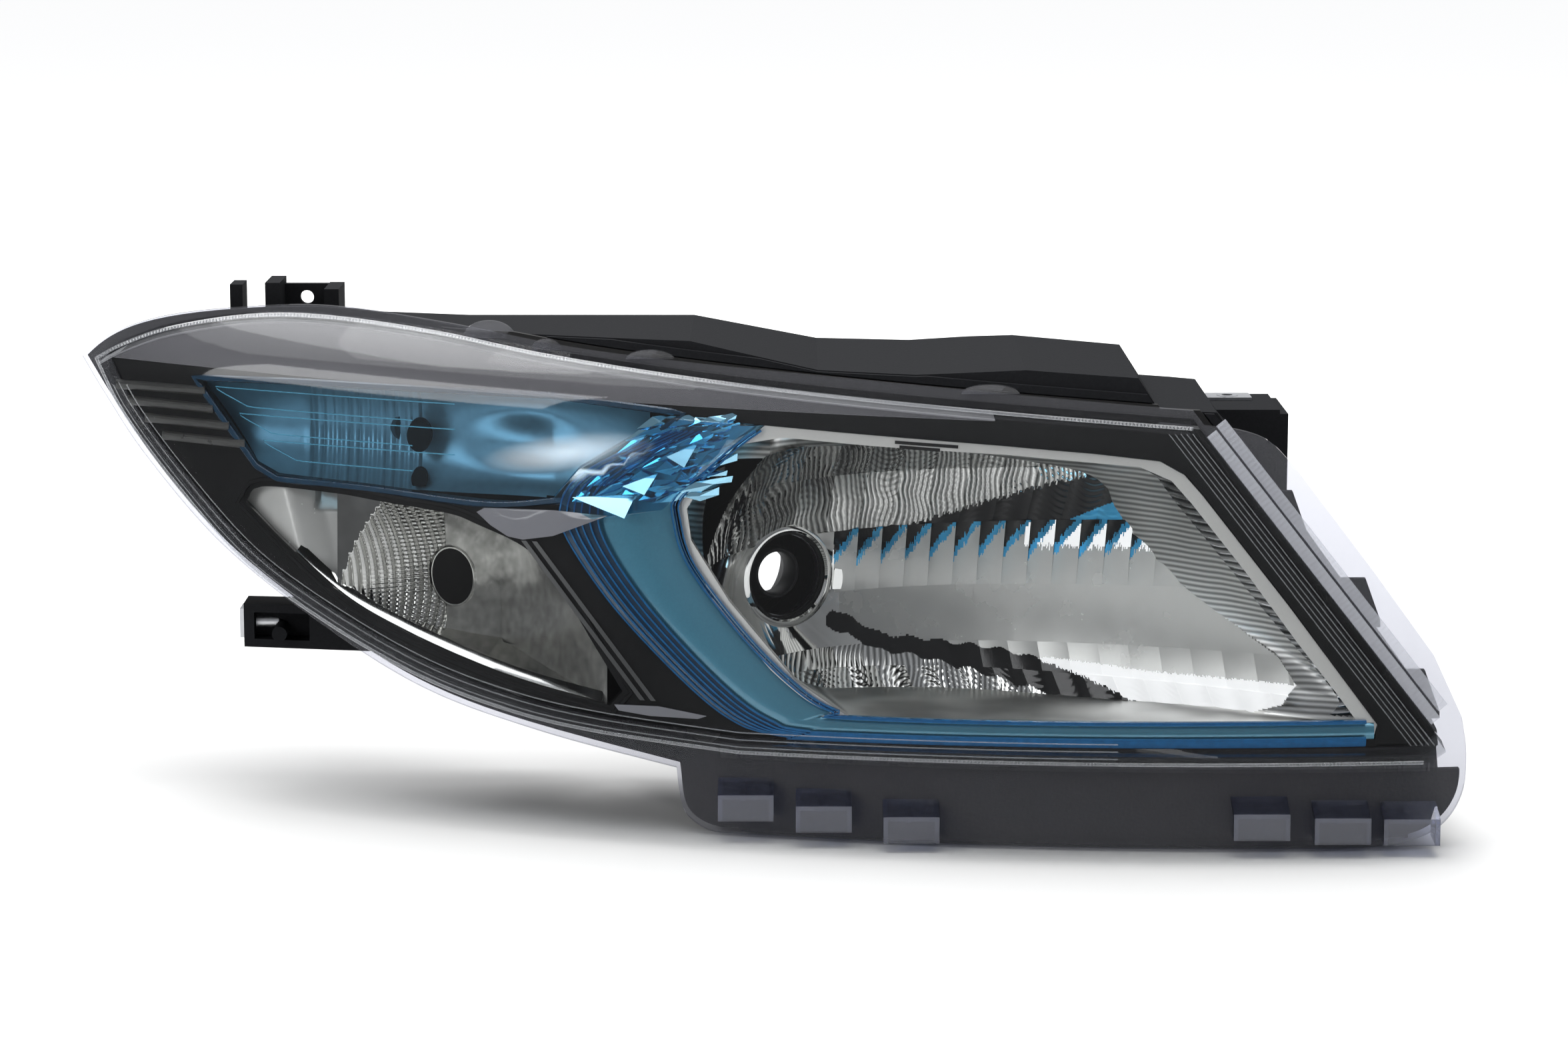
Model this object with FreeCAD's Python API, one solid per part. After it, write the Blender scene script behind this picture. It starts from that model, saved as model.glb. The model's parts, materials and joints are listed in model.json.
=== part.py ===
"""Right-hand car headlight assembly, in millimetres.

The frame's origin is the centre of the main bulb's seat. +X runs along the lamp towards the car's
grille, +Y runs back into the car and +Z is up. The lamp's optical axis is level and turned from the
frame's -Y by OPTIC_YAW, so the parts that aim and hold bulbs are drawn in an optical frame (p to the
right, q rearwards along the optical axis, z up) and turned once by optic().
"""

import FreeCAD
import Part
import math
import os

Vec = FreeCAD.Vector

# ---------------------------------------------------------------- driving dimensions
OPTIC_YAW = 32.0  # degrees between the lamp's length and the car's width
NOSE_X, NOSE_Y = 200.0, -121.0  # the point of the lens that is furthest forward
SWEEP = 5.9  # how far the lens has swept back, in mm, 100 mm from the nose
LEAN = 0.15  # rearward lean of the lens per mm of height
ROLL = 0.025  # curvature of the lens's rolled top
LENS_WALL = 3.0
FLANGE_BACK = 34.0  # from the lens's face to the glue face of its flange
FLANGE_WALL = 3.0
HOUSING_WALL = 3.0
TRIM_WALL = 2.5
BEZEL_BACK = 15.0  # from the lens's face to the bezel's face
FLOOR_Z = -106.5  # the surface that the lamp stands on
BACK_Y = 62.0  # the housing's flat back wall

FOCAL = 30.0  # main reflector
REFLECTOR_WALL = 2.5
SEAT_BORE_R = 19.0
NECK_R = 29.0
REFLECTOR_HOLE_R = 20.5
PLATE_BACK = 33.0  # the moving reflector's face plate, behind the lens's face

ALCOVE_Q = 32.0  # outside of the wall that carries the bulb access collar
COLLAR_R, COLLAR_END_Q = 37.0, 44.0
BOOT_HOLE_R = 10.0

BALL_R = 4.0
PIN_R = 1.6  # the pin inside the fixed ball
BALL_Q = 14.0
PIVOT = (-34.0, 52.0)  # p and z of the fixed ball
LEVEL = (-34.0, -50.0)  # p and z of the levelling rod's ball
SIDE = (46.0, 52.0)  # p and z of the side adjuster's ball
BALL_GAP = 0.25
SEAT_RING_R = 30.0

TURN_AT = Vec(-155, 16, -4)  # the turn lamp's bulb hole
TURN_HOLE_R = 14.0
POSITION_AT = Vec(-170, 8, 67)  # the position lamp's bulb hole
POSITION_HOLE_R = 8.0


# ---------------------------------------------------------------- the lens's surfaces
def sweep_y(x):
    """How far back the lens's mid line lies at x."""
    return NOSE_Y + SWEEP * ((x - NOSE_X) / 100) ** 2


def roll_start_z(x):
    """Height at which the lens starts to roll back over its top."""
    return 91.0 - 9.0 * (x + 312) / 495


def lens_y(x, z, rolled=True):
    """Depth of the lens's outer face."""
    over = max(0.0, z - roll_start_z(x)) if rolled else 0.0
    return sweep_y(x) + LEAN * z + ROLL * over * over


def knees(a, b, c):
    """The three poles of the parabola through two ends and the middle."""
    return [a, b * 2 - (a + c) * 0.5, c]


def half_space(point, a0, a1, b0, b1, push):
    """A solid behind a surface that is quadratic in both of its directions."""
    spans = [(a0, (a0 + a1) / 2, a1), (b0, (b0 + b1) / 2, b1)]
    rows = [knees(*[point(a, b) for b in spans[1]]) for a in spans[0]]
    columns = [knees(*column) for column in zip(*rows)]
    surface = Part.BSplineSurface()
    surface.buildFromPolesMultsKnots(
        columns, (3, 3), (3, 3), (0.0, 1.0), (0.0, 1.0), False, False, 2, 2
    )
    return surface.toShape().extrude(push)


SPAN = (-380.0, 340.0, -130.0, 150.0)


def behind(offset, rolled=False):
    """Everything behind the lens's face moved back by offset."""
    x0, x1, z0, z1 = SPAN
    push = Vec(0, 500, 0)
    flat = half_space(lambda x, z: Vec(x, lens_y(x, z, False) + offset, z), *SPAN, push)
    if not rolled:
        return flat
    top = half_space(
        lambda x, z: Vec(x, lens_y(x, z, False) + offset + ROLL * (z - roll_start_z(x)) ** 2, z),
        *SPAN,
        push,
    )
    left, right = roll_start_z(x0), roll_start_z(x1)
    above = Outline([(x0, left), (x1, right), (x1, z1), (x0, z1)])
    below = Outline([(x0, left), (x1, right), (x1, z0), (x0, z0)])
    return flat.common(below.prism(-300, 500)).fuse(top.common(above.prism(-300, 500)))


def layer(front, back, rolled=False):
    """The slab between two offsets of the lens's face."""
    return behind(front, rolled).cut(behind(back, rolled))


# ---------------------------------------------------------------- outlines in the XZ plane
class Outline:
    """A closed outline of (x, z) corners, and of smooth points marked with a third value."""

    def __init__(self, points):
        self.points = [(p[0], p[1], len(p) > 2) for p in points]

    def grown(self, by):
        """The same outline moved outwards by a distance, inwards if negative."""
        pts = self.points
        n = len(pts)
        area = sum(
            pts[i][0] * pts[(i + 1) % n][1] - pts[(i + 1) % n][0] * pts[i][1]
            for i in range(n)
        )
        side = 1.0 if area > 0 else -1.0
        out = []
        for i, (x, z, smooth) in enumerate(pts):
            a, b = pts[i - 1], pts[(i + 1) % n]
            d1, d2 = (x - a[0], z - a[1]), (b[0] - x, b[1] - z)
            l1, l2 = math.hypot(*d1), math.hypot(*d2)
            n1 = (side * d1[1] / l1, -side * d1[0] / l1)
            n2 = (side * d2[1] / l2, -side * d2[0] / l2)
            bend = max(0.35, 1 + n1[0] * n2[0] + n1[1] * n2[1])
            move = (by * (n1[0] + n2[0]) / bend, by * (n1[1] + n2[1]) / bend)
            out.append((x + move[0], z + move[1]) + ((1,) if smooth else ()))
        return Outline(out)

    def wire(self, y=0.0):
        pts = self.points
        first = next(i for i, p in enumerate(pts) if not p[2])
        pts = pts[first:] + pts[: first + 1]
        edges, run = [], [pts[0]]
        for p in pts[1:]:
            run.append(p)
            if p[2]:
                continue
            places = [Vec(q[0], y, q[1]) for q in run]
            if len(places) == 2:
                edges.append(Part.LineSegment(*places).toShape())
            else:
                curve = Part.BSplineCurve()
                curve.interpolate(places)
                edges.append(curve.toShape())
            run = [p]
        return Part.Wire(edges)

    def prism(self, y0=-250.0, y1=250.0):
        return Part.Face(self.wire(y0)).extrude(Vec(0, y1 - y0, 0))


RIDGE = Outline(
    [
        (-326, 94), (-312, 101.5, 1), (-288, 110, 1), (-250, 117, 1), (-212, 118.5, 1),
        (-160, 115, 1), (-106, 108, 1), (-30, 100.5, 1), (60, 93.5, 1), (183, 85),
        (290, -51), (292, -56), (285, -60.5), (-20, -61.5), (-86, -56, 1),
        (-126, -49.5, 1), (-166, -38, 1), (-210, -18, 1), (-250, 6, 1), (-285, 39, 1),
        (-312, 70, 1),
    ]
)
FLANGE = Outline(
    [
        (-339, 90), (-325, 101, 1), (-296, 112, 1), (-256, 119, 1), (-212, 122.5, 1),
        (-156, 118, 1), (-81, 108, 1), (47, 99, 1), (183, 88.5), (188, 82), (204, 80, 1),
        (217, 73, 1), (224, 62), (257, 17), (284, -20), (300, -48), (304.5, -64, 1),
        (304, -82, 1), (294, -96, 1), (276, -103, 1), (250, -105), (-22, -105),
        (-34, -104, 1), (-44, -97, 1), (-47, -86, 1), (-48, -77), (-114, -64.5, 1),
        (-168, -49.5, 1), (-220, -23, 1), (-267, 8, 1), (-305, 45, 1), (-327, 73, 1),
    ]
)
BODY = Outline(
    [
        (-331, 88), (-300, 105, 1), (-256, 113, 1), (-200, 116), (-149, 114), (-42, 114),
        (16, 103), (60, 102), (109, 105), (159, 102), (168, 88), (194, 87), (203, 74),
        (217, 58), (250, 12), (278, -26), (292, -54), (294, -80), (282, -95),
        (262, -105), (-18, -105), (-34, -96), (-38, -76), (-60, -69), (-114, -60, 1),
        (-168, -45, 1), (-218, -19, 1), (-263, 11, 1), (-300, 47, 1), (-320, 72, 1),
    ]
)
MAIN_OPENING = Outline(
    [
        (-8, 81), (96, 75), (138, 72), (167, 69), (178, 63), (186, 54), (224, 6),
        (264, -47), (262, -54), (30, -56), (14, -50), (-30, -1), (-44, 26), (-48, 42),
        (-40, 54),
    ]
)
BEAM_HOLE = Outline(
    [
        (-7, 75), (68, 71), (96, 70), (160, 64), (172, 59), (198, 28), (238, -25),
        (253, -42), (248, -45), (36, -45), (20, -41), (-22, 0), (-40, 28), (-40, 44),
        (-33, 54),
    ]
)
BEAM_RIM = Outline(
    [
        (-30, 62), (37, 65), (91, 60), (140, 53), (150, 37), (175, 10), (200, -11),
        (221, -25), (227, -34), (222, -39), (205, -44), (145, -48.3), (18, -48.8),
        (-12, -35), (-34, -4), (-36, 34),
    ]
)
ACCENT = Outline(
    [
        (-42, 79), (-8, 81), (-33, 60), (-47, 47), (-48, 38), (-42, 17), (-17, -13),
        (6, -35), (24, -44), (38, -47), (262, -45), (262, -55), (20, -56.5), (3, -54.5),
        (-16, -50.5), (-36, -37), (-70, -4), (-92, 26), (-95, 42), (-82, 55),
    ]
)
POSITION = Outline(
    [
        (-276, 86), (-226, 88), (-106, 89), (-46, 84), (-84, 58), (-100, 44), (-135, 40),
        (-190, 43), (-236, 44), (-246, 49),
    ]
)
TURN = Outline(
    [
        (-252, 31), (-244, 39), (-208, 39), (-186, 37), (-154, 34), (-140, 30),
        (-116, 20), (-100, 3), (-87, -18), (-72, -41), (-78, -48), (-114, -41),
        (-143, -33), (-174, -22), (-202, -9), (-230, 12),
    ]
)


def turned(shape):
    """Turns a shape drawn in the optical frame into the lamp's frame."""
    made = shape.copy()
    made.rotate(Vec(0, 0, 0), Vec(0, 0, 1), OPTIC_YAW)
    return made


def optic_point(p, q, z):
    """A point of the optical frame, in the lamp's frame."""
    c, s = math.cos(math.radians(OPTIC_YAW)), math.sin(math.radians(OPTIC_YAW))
    return Vec(c * p - s * q, s * p + c * q, z)


def rod(radius, p, z, q0, q1):
    """A cylinder along the optical axis, in the optical frame."""
    return Part.makeCylinder(radius, q1 - q0, Vec(p, q0, z), Vec(0, 1, 0))


def ring(outer, inner, p, z, q0, q1):
    return rod(outer, p, z, q0, q1).cut(rod(inner, p, z, q0 - 1, q1 + 1))


def spun(profile, p=0.0, z=0.0):
    """A solid turned about a line along the optical axis, from (radius, q) corners."""
    points = [Vec(p + r, q, z) for r, q in profile]
    face = Part.Face(Part.makePolygon(points + points[:1]))
    return face.revolve(Vec(p, 0, z), Vec(0, 1, 0), 360)


def block(x0, x1, y0, y1, z0, z1):
    return Part.makeBox(x1 - x0, y1 - y0, z1 - z0, Vec(x0, y0, z0))


def plan_prism(points, z0, z1):
    """A prism over a polygon of (x, y) corners."""
    corners = [Vec(x, y, z0) for x, y in points]
    return Part.Face(Part.makePolygon(corners + corners[:1])).extrude(Vec(0, 0, z1 - z0))


def largest(shape):
    """The biggest solid of a shape, without the slivers that a cut leaves."""
    return max(shape.Solids, key=lambda solid: solid.Volume)


def union(shapes):
    first, *others = shapes
    return first.fuse(others).removeSplitter()


# ---------------------------------------------------------------- lens and its seal
HOOKS = [(-29, -84), (6, -87), (45, -90), (200, -86), (236, -88), (267, -89)]
HOOK_WIDE, HOOK_TALL, HOOK_OUT = 25.0, 12.0, 15.0


def lens_hook(x, top):
    """A tapered lug on the flange that locates the bumper skin."""
    y = sweep_y(x + HOOK_WIDE / 2) + LEAN * top + FLANGE_BACK - FLANGE_WALL
    side = [(y + 4, top + 5), (y - HOOK_OUT, top), (y - HOOK_OUT, top - HOOK_TALL)]
    side.append((y + 4, top - HOOK_TALL + 1))
    corners = [Vec(x, a, b) for a, b in side]
    solid = Part.Face(Part.makePolygon(corners + corners[:1])).extrude(Vec(HOOK_WIDE, 0, 0))
    hollow = block(x + 2, x + HOOK_WIDE - 2, y - HOOK_OUT + 2, y - 1, top - 40, top - 3)
    return solid.cut(hollow)


def lens_tab(x, z, wide, tall):
    """A small tab that stands up from the flange's top edge."""
    y = lens_y(x, z, False) + FLANGE_BACK
    return block(x - wide / 2, x + wide / 2, y - FLANGE_WALL, y, z - 2, z + tall)


def make_lens():
    face = RIDGE.prism().common(layer(0, LENS_WALL, True))
    walls = RIDGE.prism().cut(RIDGE.grown(-LENS_WALL).prism())
    walls = walls.common(behind(1, True)).cut(behind(FLANGE_BACK))
    flange = FLANGE.prism().cut(RIDGE.grown(-LENS_WALL).prism())
    flange = flange.common(layer(FLANGE_BACK - FLANGE_WALL, FLANGE_BACK))
    pieces = [face, walls, flange] + [lens_hook(x, z) for x, z in HOOKS]
    for x, z, wide, tall in ((-135, 112, 22, 7), (-108, 108, 16, 5), (93, 95, 28, 4)):
        pieces.append(lens_tab(x, z, wide, tall))
    whole = union(pieces)
    return whole.cut(behind(FLANGE_BACK))


def make_seal():
    bead = RIDGE.grown(4.6).prism().cut(RIDGE.grown(0.6).prism())
    bead = bead.common(BODY.grown(1.0).prism())
    return bead.common(layer(FLANGE_BACK + 0.05, FLANGE_BACK + 2.95))


# ---------------------------------------------------------------- housing
PLAN = [
    (-352, -160), (-352, 126), (-318, 121), (-262, 92), (-226, BACK_Y), (88, BACK_Y),
    (182, 40), (262, 8), (312, -36), (312, -160),
]
ALCOVE_LEFT_P, ALCOVE_RIGHT_P = -56.0, 62.0
ALCOVE_TOP_Z = 74.0


def alcove(grow):
    """The space behind the bulb access, cut out of the housing's back."""
    q = ALCOVE_Q - grow
    a = optic_point(ALCOVE_LEFT_P - grow, q, 0)
    b = optic_point(ALCOVE_RIGHT_P + grow, q, 0)
    c = optic_point(ALCOVE_RIGHT_P + grow, q + 60, 0)
    d = optic_point(ALCOVE_LEFT_P - grow, q + 150, 0)
    corners = [(v.x, v.y) for v in (a, b, c, d)]
    return plan_prism(corners, -140, ALCOVE_TOP_Z + grow)


def inset_plan(by):
    """The plan outline moved inwards on its back and sides."""
    moved = Outline([(x, y) for x, y in PLAN]).grown(-by)
    corners = [(p[0], p[1]) for p in moved.points]
    return [(corners[0][0], -200), *corners[1:-1], (corners[-1][0], -200)]


def clip_tab(x, z):
    """One of the housing's snap loops beside the lens's inner end."""
    y = lens_y(x, z, False) + FLANGE_BACK + 5
    corners = [(x - 12, z + 10), (x + 2, z + 10), (x + 9, z - 9), (x + 9, z - 12), (x - 4, z - 12)]
    tab = Outline(corners).prism(y, y + 4)
    web = block(x - 14, x - 2, y, y + 12, z - 10, z + 8)
    return tab.fuse(web)


TOP_BRACKET = (-246.0, -211.0, 86.0, 90.0)  # x range and y range of its plate
TOP_HOLE_Z = 119.5
SIDE_BRACKET_Z = -34.5
RIGHT_BRACKET = (206.0, 237.0)


def top_bracket():
    x0, x1, y0, y1 = TOP_BRACKET
    plate = block(x0, x1, y0, y1, 84, 126)
    ribs = [block(x0, x0 + 7, 64, y1 + 3, 90, 129), block(x1 - 7, x1, 64, y1 + 3, 90, 126)]
    foot = block(x0, x1, 66, y1, 84, 104)
    fin = block(-264, -258, 74, 92, 88, 127)
    hole = Part.makeCylinder(3.3, 40, Vec((x0 + x1) / 2, 60, TOP_HOLE_Z), Vec(0, 1, 0))
    return union([plate, foot, fin] + ribs).cut(hole)


def side_bracket():
    arm = plan_prism([(-258, 52), (-258, 72), (-190, 64), (-190, 40), (-214, 44)], -45, -24)
    pocket = plan_prism([(-253, 48), (-253, 60), (-226, 58), (-226, 30)], -41, -28)
    bore = Part.makeCylinder(5.2, 30, Vec(-270, 64, SIDE_BRACKET_Z), Vec(1, 0, 0))
    peg = Part.makeCylinder(3.6, 22, Vec(-240, 64, -37), Vec(0, -1, 0))
    return arm.cut(pocket).fuse(peg).cut(bore)


def right_bracket():
    x0, x1 = RIGHT_BRACKET
    wall = block(x1 - 4, x1, 24, 76, 20, 72)
    back = block(x0 - 14, x1, 24, 28, 20, 72)
    tab = block(x0 - 14, x1 - 4, 24, 76, 70, 74)
    hole = Part.makeCylinder(6.0, 30, Vec(x0 + 6, 62, 60), Vec(0, 0, 1))
    return union([wall, back, tab]).cut(hole)


def axis_of(point):
    """p, q and z in the optical frame of a point of the lamp's frame."""
    c, s = math.cos(math.radians(OPTIC_YAW)), math.sin(math.radians(OPTIC_YAW))
    return c * point.x + s * point.y, c * point.y - s * point.x, point.z


TURN_P, TURN_Q, TURN_Z = axis_of(TURN_AT)
POSITION_P, POSITION_Q, POSITION_Z = axis_of(POSITION_AT)
TURN_COLLAR_END = TURN_Q + 72
POSITION_COLLAR_END = POSITION_Q + 82


def whole_housing():
    outer = BODY.prism().common(plan_prism(PLAN, -200, 200)).common(behind(FLANGE_BACK + 3))
    outer = outer.cut(alcove(0))
    inner = BODY.grown(-HOUSING_WALL).prism()
    inner = inner.common(plan_prism(inset_plan(HOUSING_WALL), -200, 200)).cut(alcove(HOUSING_WALL))
    rim = FLANGE.grown(-1.5).prism().cut(BODY.grown(-2).prism())
    rim = rim.common(layer(FLANGE_BACK + 3, FLANGE_BACK + 7))
    rim = rim.cut(block(190, 340, -200, 0, -72, 92).cut(BODY.grown(0.5).prism()))
    lip = RIDGE.grown(8.6).prism().cut(RIDGE.grown(5.2).prism())
    lip = lip.common(layer(FLANGE_BACK + 0.4, FLANGE_BACK + 4)).common(BODY.grown(-0.5).prism())
    shell = outer.cut(inner)
    ledge = BODY.grown(-1).prism().cut(RIDGE.grown(-0.5).prism())
    ledge = ledge.common(layer(FLANGE_BACK + 3, FLANGE_BACK + 6))
    parts = [shell, rim, ledge, lip]
    parts.append(turned(rod(COLLAR_R, 0, 0, ALCOVE_Q - HOUSING_WALL, COLLAR_END_Q)))
    parts.append(turned(rod(20, TURN_P, TURN_Z, TURN_Q + 30, TURN_COLLAR_END)))
    parts.append(turned(rod(13, POSITION_P, POSITION_Z, POSITION_Q + 38, POSITION_COLLAR_END)))
    parts.append(turned(rod(12, LEVEL[0], LEVEL[1], ALCOVE_Q - 6, ALCOVE_Q + 2)))
    parts.append(turned(rod(10, SIDE[0], SIDE[1], ALCOVE_Q - 8, ALCOVE_Q + 4)))
    parts.append(turned(rod(7, PIVOT[0], PIVOT[1], ALCOVE_Q - 10, ALCOVE_Q)))
    parts += [top_bracket(), side_bracket(), right_bracket()]
    parts += [clip_tab(226, 42), clip_tab(259, 3), clip_tab(286, -38)]
    for x, y in ((45, -78), (255, -78), (60, 40), (170, 22)):
        parts.append(block(x, x + 28, y, y + 10, FLOOR_Z, FLOOR_Z + 4))
    for x in range(84, 180, 24):
        parts.append(block(x, x + 2.5, 20, BACK_Y + 5, -60, 60))
    whole = union(parts)
    for radius, p, z, q0, q1 in (
        (34.0, 0, 0, -10, 90),
        (16.0, TURN_P, TURN_Z, TURN_Q + 6, TURN_Q + 100),
        (10.0, POSITION_P, POSITION_Z, POSITION_Q + 6, POSITION_Q + 110),
        (9.0, LEVEL[0], LEVEL[1], 0, 60),
        (6.2, SIDE[0], SIDE[1], 0, 60),
        (3.0, PIVOT[0], PIVOT[1], 0, ALCOVE_Q - 3),
    ):
        whole = whole.cut(turned(rod(radius, p, z, q0, q1)))
    return whole


HOUSING = whole_housing()
SPLIT_X = -60.0  # where the moulding is divided along its length


def access_region():
    """The slanted wall behind the main bulb, with its collar and its bores."""
    wide = ALCOVE_RIGHT_P - ALCOVE_LEFT_P + 2 * HOUSING_WALL
    corner = Vec(ALCOVE_LEFT_P - HOUSING_WALL, ALCOVE_Q - 12, -97)
    return turned(Part.makeBox(wide, 30, ALCOVE_TOP_Z + 97, corner))


def make_housing():
    return HOUSING.cut(access_region()).common(block(-400, SPLIT_X, -250, 250, -150, 160))


def make_housing_inner_end():
    return HOUSING.cut(access_region()).common(block(SPLIT_X, 400, -250, 250, -150, 160))


def make_bulb_access():
    return HOUSING.common(access_region())


# ---------------------------------------------------------------- inner trim
def make_bezel():
    face = RIDGE.grown(-5).prism().common(layer(BEZEL_BACK, BEZEL_BACK + TRIM_WALL, True))
    skirt = RIDGE.grown(-5).prism().cut(RIDGE.grown(-5 - TRIM_WALL).prism())
    skirt = skirt.common(behind(BEZEL_BACK, True)).cut(behind(FLANGE_BACK + 2))
    whole = face.fuse(skirt)
    for hole in (MAIN_OPENING, ACCENT.grown(0.4), POSITION.grown(0.4), TURN):
        whole = whole.cut(hole.prism())
    return largest(whole)


def make_accent_trim():
    return ACCENT.prism().common(layer(BEZEL_BACK - 1.5, BEZEL_BACK + 2.0))


def make_position_lens():
    panel = POSITION.prism().common(layer(BEZEL_BACK - 1.0, BEZEL_BACK + 1.5))
    return panel.cut(ACCENT.grown(0.4).prism())


def make_beam_frame():
    ring_prism = MAIN_OPENING.grown(-0.4).prism().cut(BEAM_HOLE.prism())
    ring_prism = ring_prism.cut(ACCENT.grown(0.4).prism())
    return largest(ring_prism.common(layer(BEZEL_BACK + 1.5, BEZEL_BACK + 3.5)))


def make_position_reflector():
    outer = POSITION.grown(-2).prism().common(layer(BEZEL_BACK + 3, BEZEL_BACK + 24))
    inner = POSITION.grown(-4).prism().cut(behind(BEZEL_BACK + 22))
    trough = outer.cut(inner).cut(ACCENT.grown(2).prism())
    return trough.cut(turned(rod(POSITION_HOLE_R, POSITION_P, POSITION_Z, -100, 300)))


def bowl_back(back, focal):
    """Everything behind the main reflector's bowl moved back along its axis."""
    return half_space(
        lambda p, z: optic_point(p, back - (p * p + z * z) / (4 * focal), z),
        -170.0, 300.0, -140.0, 140.0, optic_point(0, 900, 0),
    )


TURN_EDGE_X, TURN_CORNER_X = -205.0, -134.0  # where the turn lamp's bowl starts and where it ends
TURN_CORNER_Y, TURN_SIDE_X = 36.0, -78.0


def turn_bowl_y(x, z):
    """Depth of the turn lamp's bowl."""
    across = (x - TURN_EDGE_X) / (TURN_CORNER_X - TURN_EDGE_X)
    return -4.0 + 16 * across + (TURN_CORNER_Y - 12) * across * across - (z + 2) ** 2 / 90


def turn_bowl(back):
    """Everything behind the turn lamp's bowl moved back."""
    return half_space(
        lambda x, z: Vec(x, turn_bowl_y(x, z) + back, z), -270.0, -60.0, -80.0, 70.0, Vec(0, 300, 0)
    )


def turn_space(shrink, back):
    """The turn lamp's inside, its walls moved in and its bowl moved back."""
    front_y = sweep_y(TURN_SIDE_X) - 20
    corner = (TURN_CORNER_X - shrink, TURN_CORNER_Y + 40)
    side = [corner, (TURN_CORNER_X - shrink, TURN_CORNER_Y), (TURN_SIDE_X - shrink, front_y), (0, front_y)]
    side.append((0, TURN_CORNER_Y + 40))
    space = TURN.grown(-shrink).prism(-150, 60).common(behind(BEZEL_BACK + 4))
    space = space.cut(turn_bowl(back)).cut(plan_prism(side, -100, 100))
    return space.cut(block(-300, TURN_EDGE_X + shrink, -100, 200, -100, 100))


def make_turn_reflector():
    cup = turn_space(-1.5, 2.0).cut(turn_space(0.5, 0.0))
    lip = TURN.grown(5).prism().cut(TURN.prism()).common(layer(BEZEL_BACK + 3, BEZEL_BACK + 5))
    lip = lip.cut(ACCENT.grown(1).prism())
    neck = turned(rod(18, TURN_P, TURN_Z, TURN_Q - 16, TURN_Q + 5)).common(turn_bowl(0.5))
    whole = union([cup, lip, neck])
    return whole.cut(turned(rod(TURN_HOLE_R, TURN_P, TURN_Z, TURN_Q - 100, TURN_Q + 50)))


def make_turn_side_trim():
    """The plain bright panel at the turn lamp's outer end."""
    panel = TURN.grown(-1).prism().common(layer(BEZEL_BACK + 5, BEZEL_BACK + 7))
    return panel.cut(block(TURN_EDGE_X - 2, 0, -200, 200, -100, 100))


def make_bezel_strips():
    """Two bright strips beside the turn lamp."""
    strips = []
    for shift in (0, 5):
        strip = Outline([(-119 + shift, 24), (-116.6 + shift, 24), (-62 + shift, -44), (-64.4 + shift, -44)])
        strips.append(strip.prism().common(layer(BEZEL_BACK - 1.2, BEZEL_BACK - 0.05)))
    return Part.makeCompound(strips)


# ---------------------------------------------------------------- the aimed reflector
def boss(p, z, r):
    """A post from the reflector's back to a ball socket, hollow for the socket."""
    start = -(p * p + z * z) / (4 * FOCAL)
    return rod(r, p, z, start + 0.3, BALL_Q - BALL_R - 3)


def make_main_reflector():
    shell = bowl_back(0, FOCAL).cut(bowl_back(REFLECTOR_WALL, FOCAL * 1.02))
    shell = shell.common(BEAM_RIM.prism(-250, 60)).common(behind(PLATE_BACK))
    behind_bowl = bowl_back(0, FOCAL)
    tube = BEAM_RIM.prism(-250, 60).cut(BEAM_RIM.grown(-REFLECTOR_WALL).prism())
    tube = tube.common(behind(PLATE_BACK)).cut(behind_bowl)
    plate = BEAM_HOLE.grown(4).prism().cut(BEAM_RIM.grown(-REFLECTOR_WALL).prism())
    plate = plate.common(layer(PLATE_BACK, PLATE_BACK + 2))
    plate = plate.cut(block(-120, -12, -200, 100, -100, 130))
    neck = rod(NECK_R, 0, 0, -10, SEAT_FRONT - 0.05)
    posts = [boss(PIVOT[0], PIVOT[1], 7), boss(LEVEL[0], LEVEL[1], 7), boss(SIDE[0], SIDE[1], 7)]
    ribs = [Part.makeBox(3, 14, 2 * 44, Vec(-35.5, -14, -44)), Part.makeBox(76, 12, 3, Vec(-32, -12, 50.5))]
    back = union([neck] + posts + ribs)
    back = turned(back).common(behind_bowl)
    whole = union([shell, tube, plate, back])
    whole = whole.cut(turned(rod(REFLECTOR_HOLE_R, 0, 0, -60, 20)))
    whole = whole.cut(turned(rod(SEAT_RING_R + 1, 0, 0, SEAT_FRONT - 0.05, 5)))
    for angle in SCREW_ANGLES:
        whole = whole.cut(turned(rod(1.55, *around(angle), SEAT_FRONT - 4.5, 5)))
    return whole


def ball_stud(p, z, shank_r, q_end):
    ball = Part.makeSphere(BALL_R, Vec(p, BALL_Q, z))
    return ball.fuse(rod(shank_r, p, z, BALL_Q + 2.5, q_end)).removeSplitter()


def make_socket(at):
    """A ball socket that clips on a reflector post."""
    p, z = at
    cup = rod(7, p, z, BALL_Q - BALL_R - 2.95, BALL_Q + 2.5)
    ball = Part.makeSphere(BALL_R + BALL_GAP, Vec(p, BALL_Q, z))
    mouth = Part.makeCone(BALL_R - 0.6, BALL_R + 1.2, 3.2, Vec(p, BALL_Q + 0.6, z), Vec(0, 1, 0))
    return turned(cup.cut(ball).cut(mouth))


def make_pivot_stud():
    p, z = PIVOT
    pin = rod(PIN_R, p, z, BALL_Q - 1, BALL_Q + BALL_R + 0.5)
    shank = rod(2.2, p, z, BALL_Q + BALL_R + 0.5, ALCOVE_Q - 3.05)
    collar = rod(4.5, p, z, ALCOVE_Q - 11.5, ALCOVE_Q - 10.05)
    return turned(union([pin, shank, collar]))


def make_pivot_ball():
    p, z = PIVOT
    ball = Part.makeSphere(BALL_R, Vec(p, BALL_Q, z))
    return turned(ball.cut(rod(PIN_R + BALL_GAP, p, z, BALL_Q - 1.3, BALL_Q + 9)))


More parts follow.
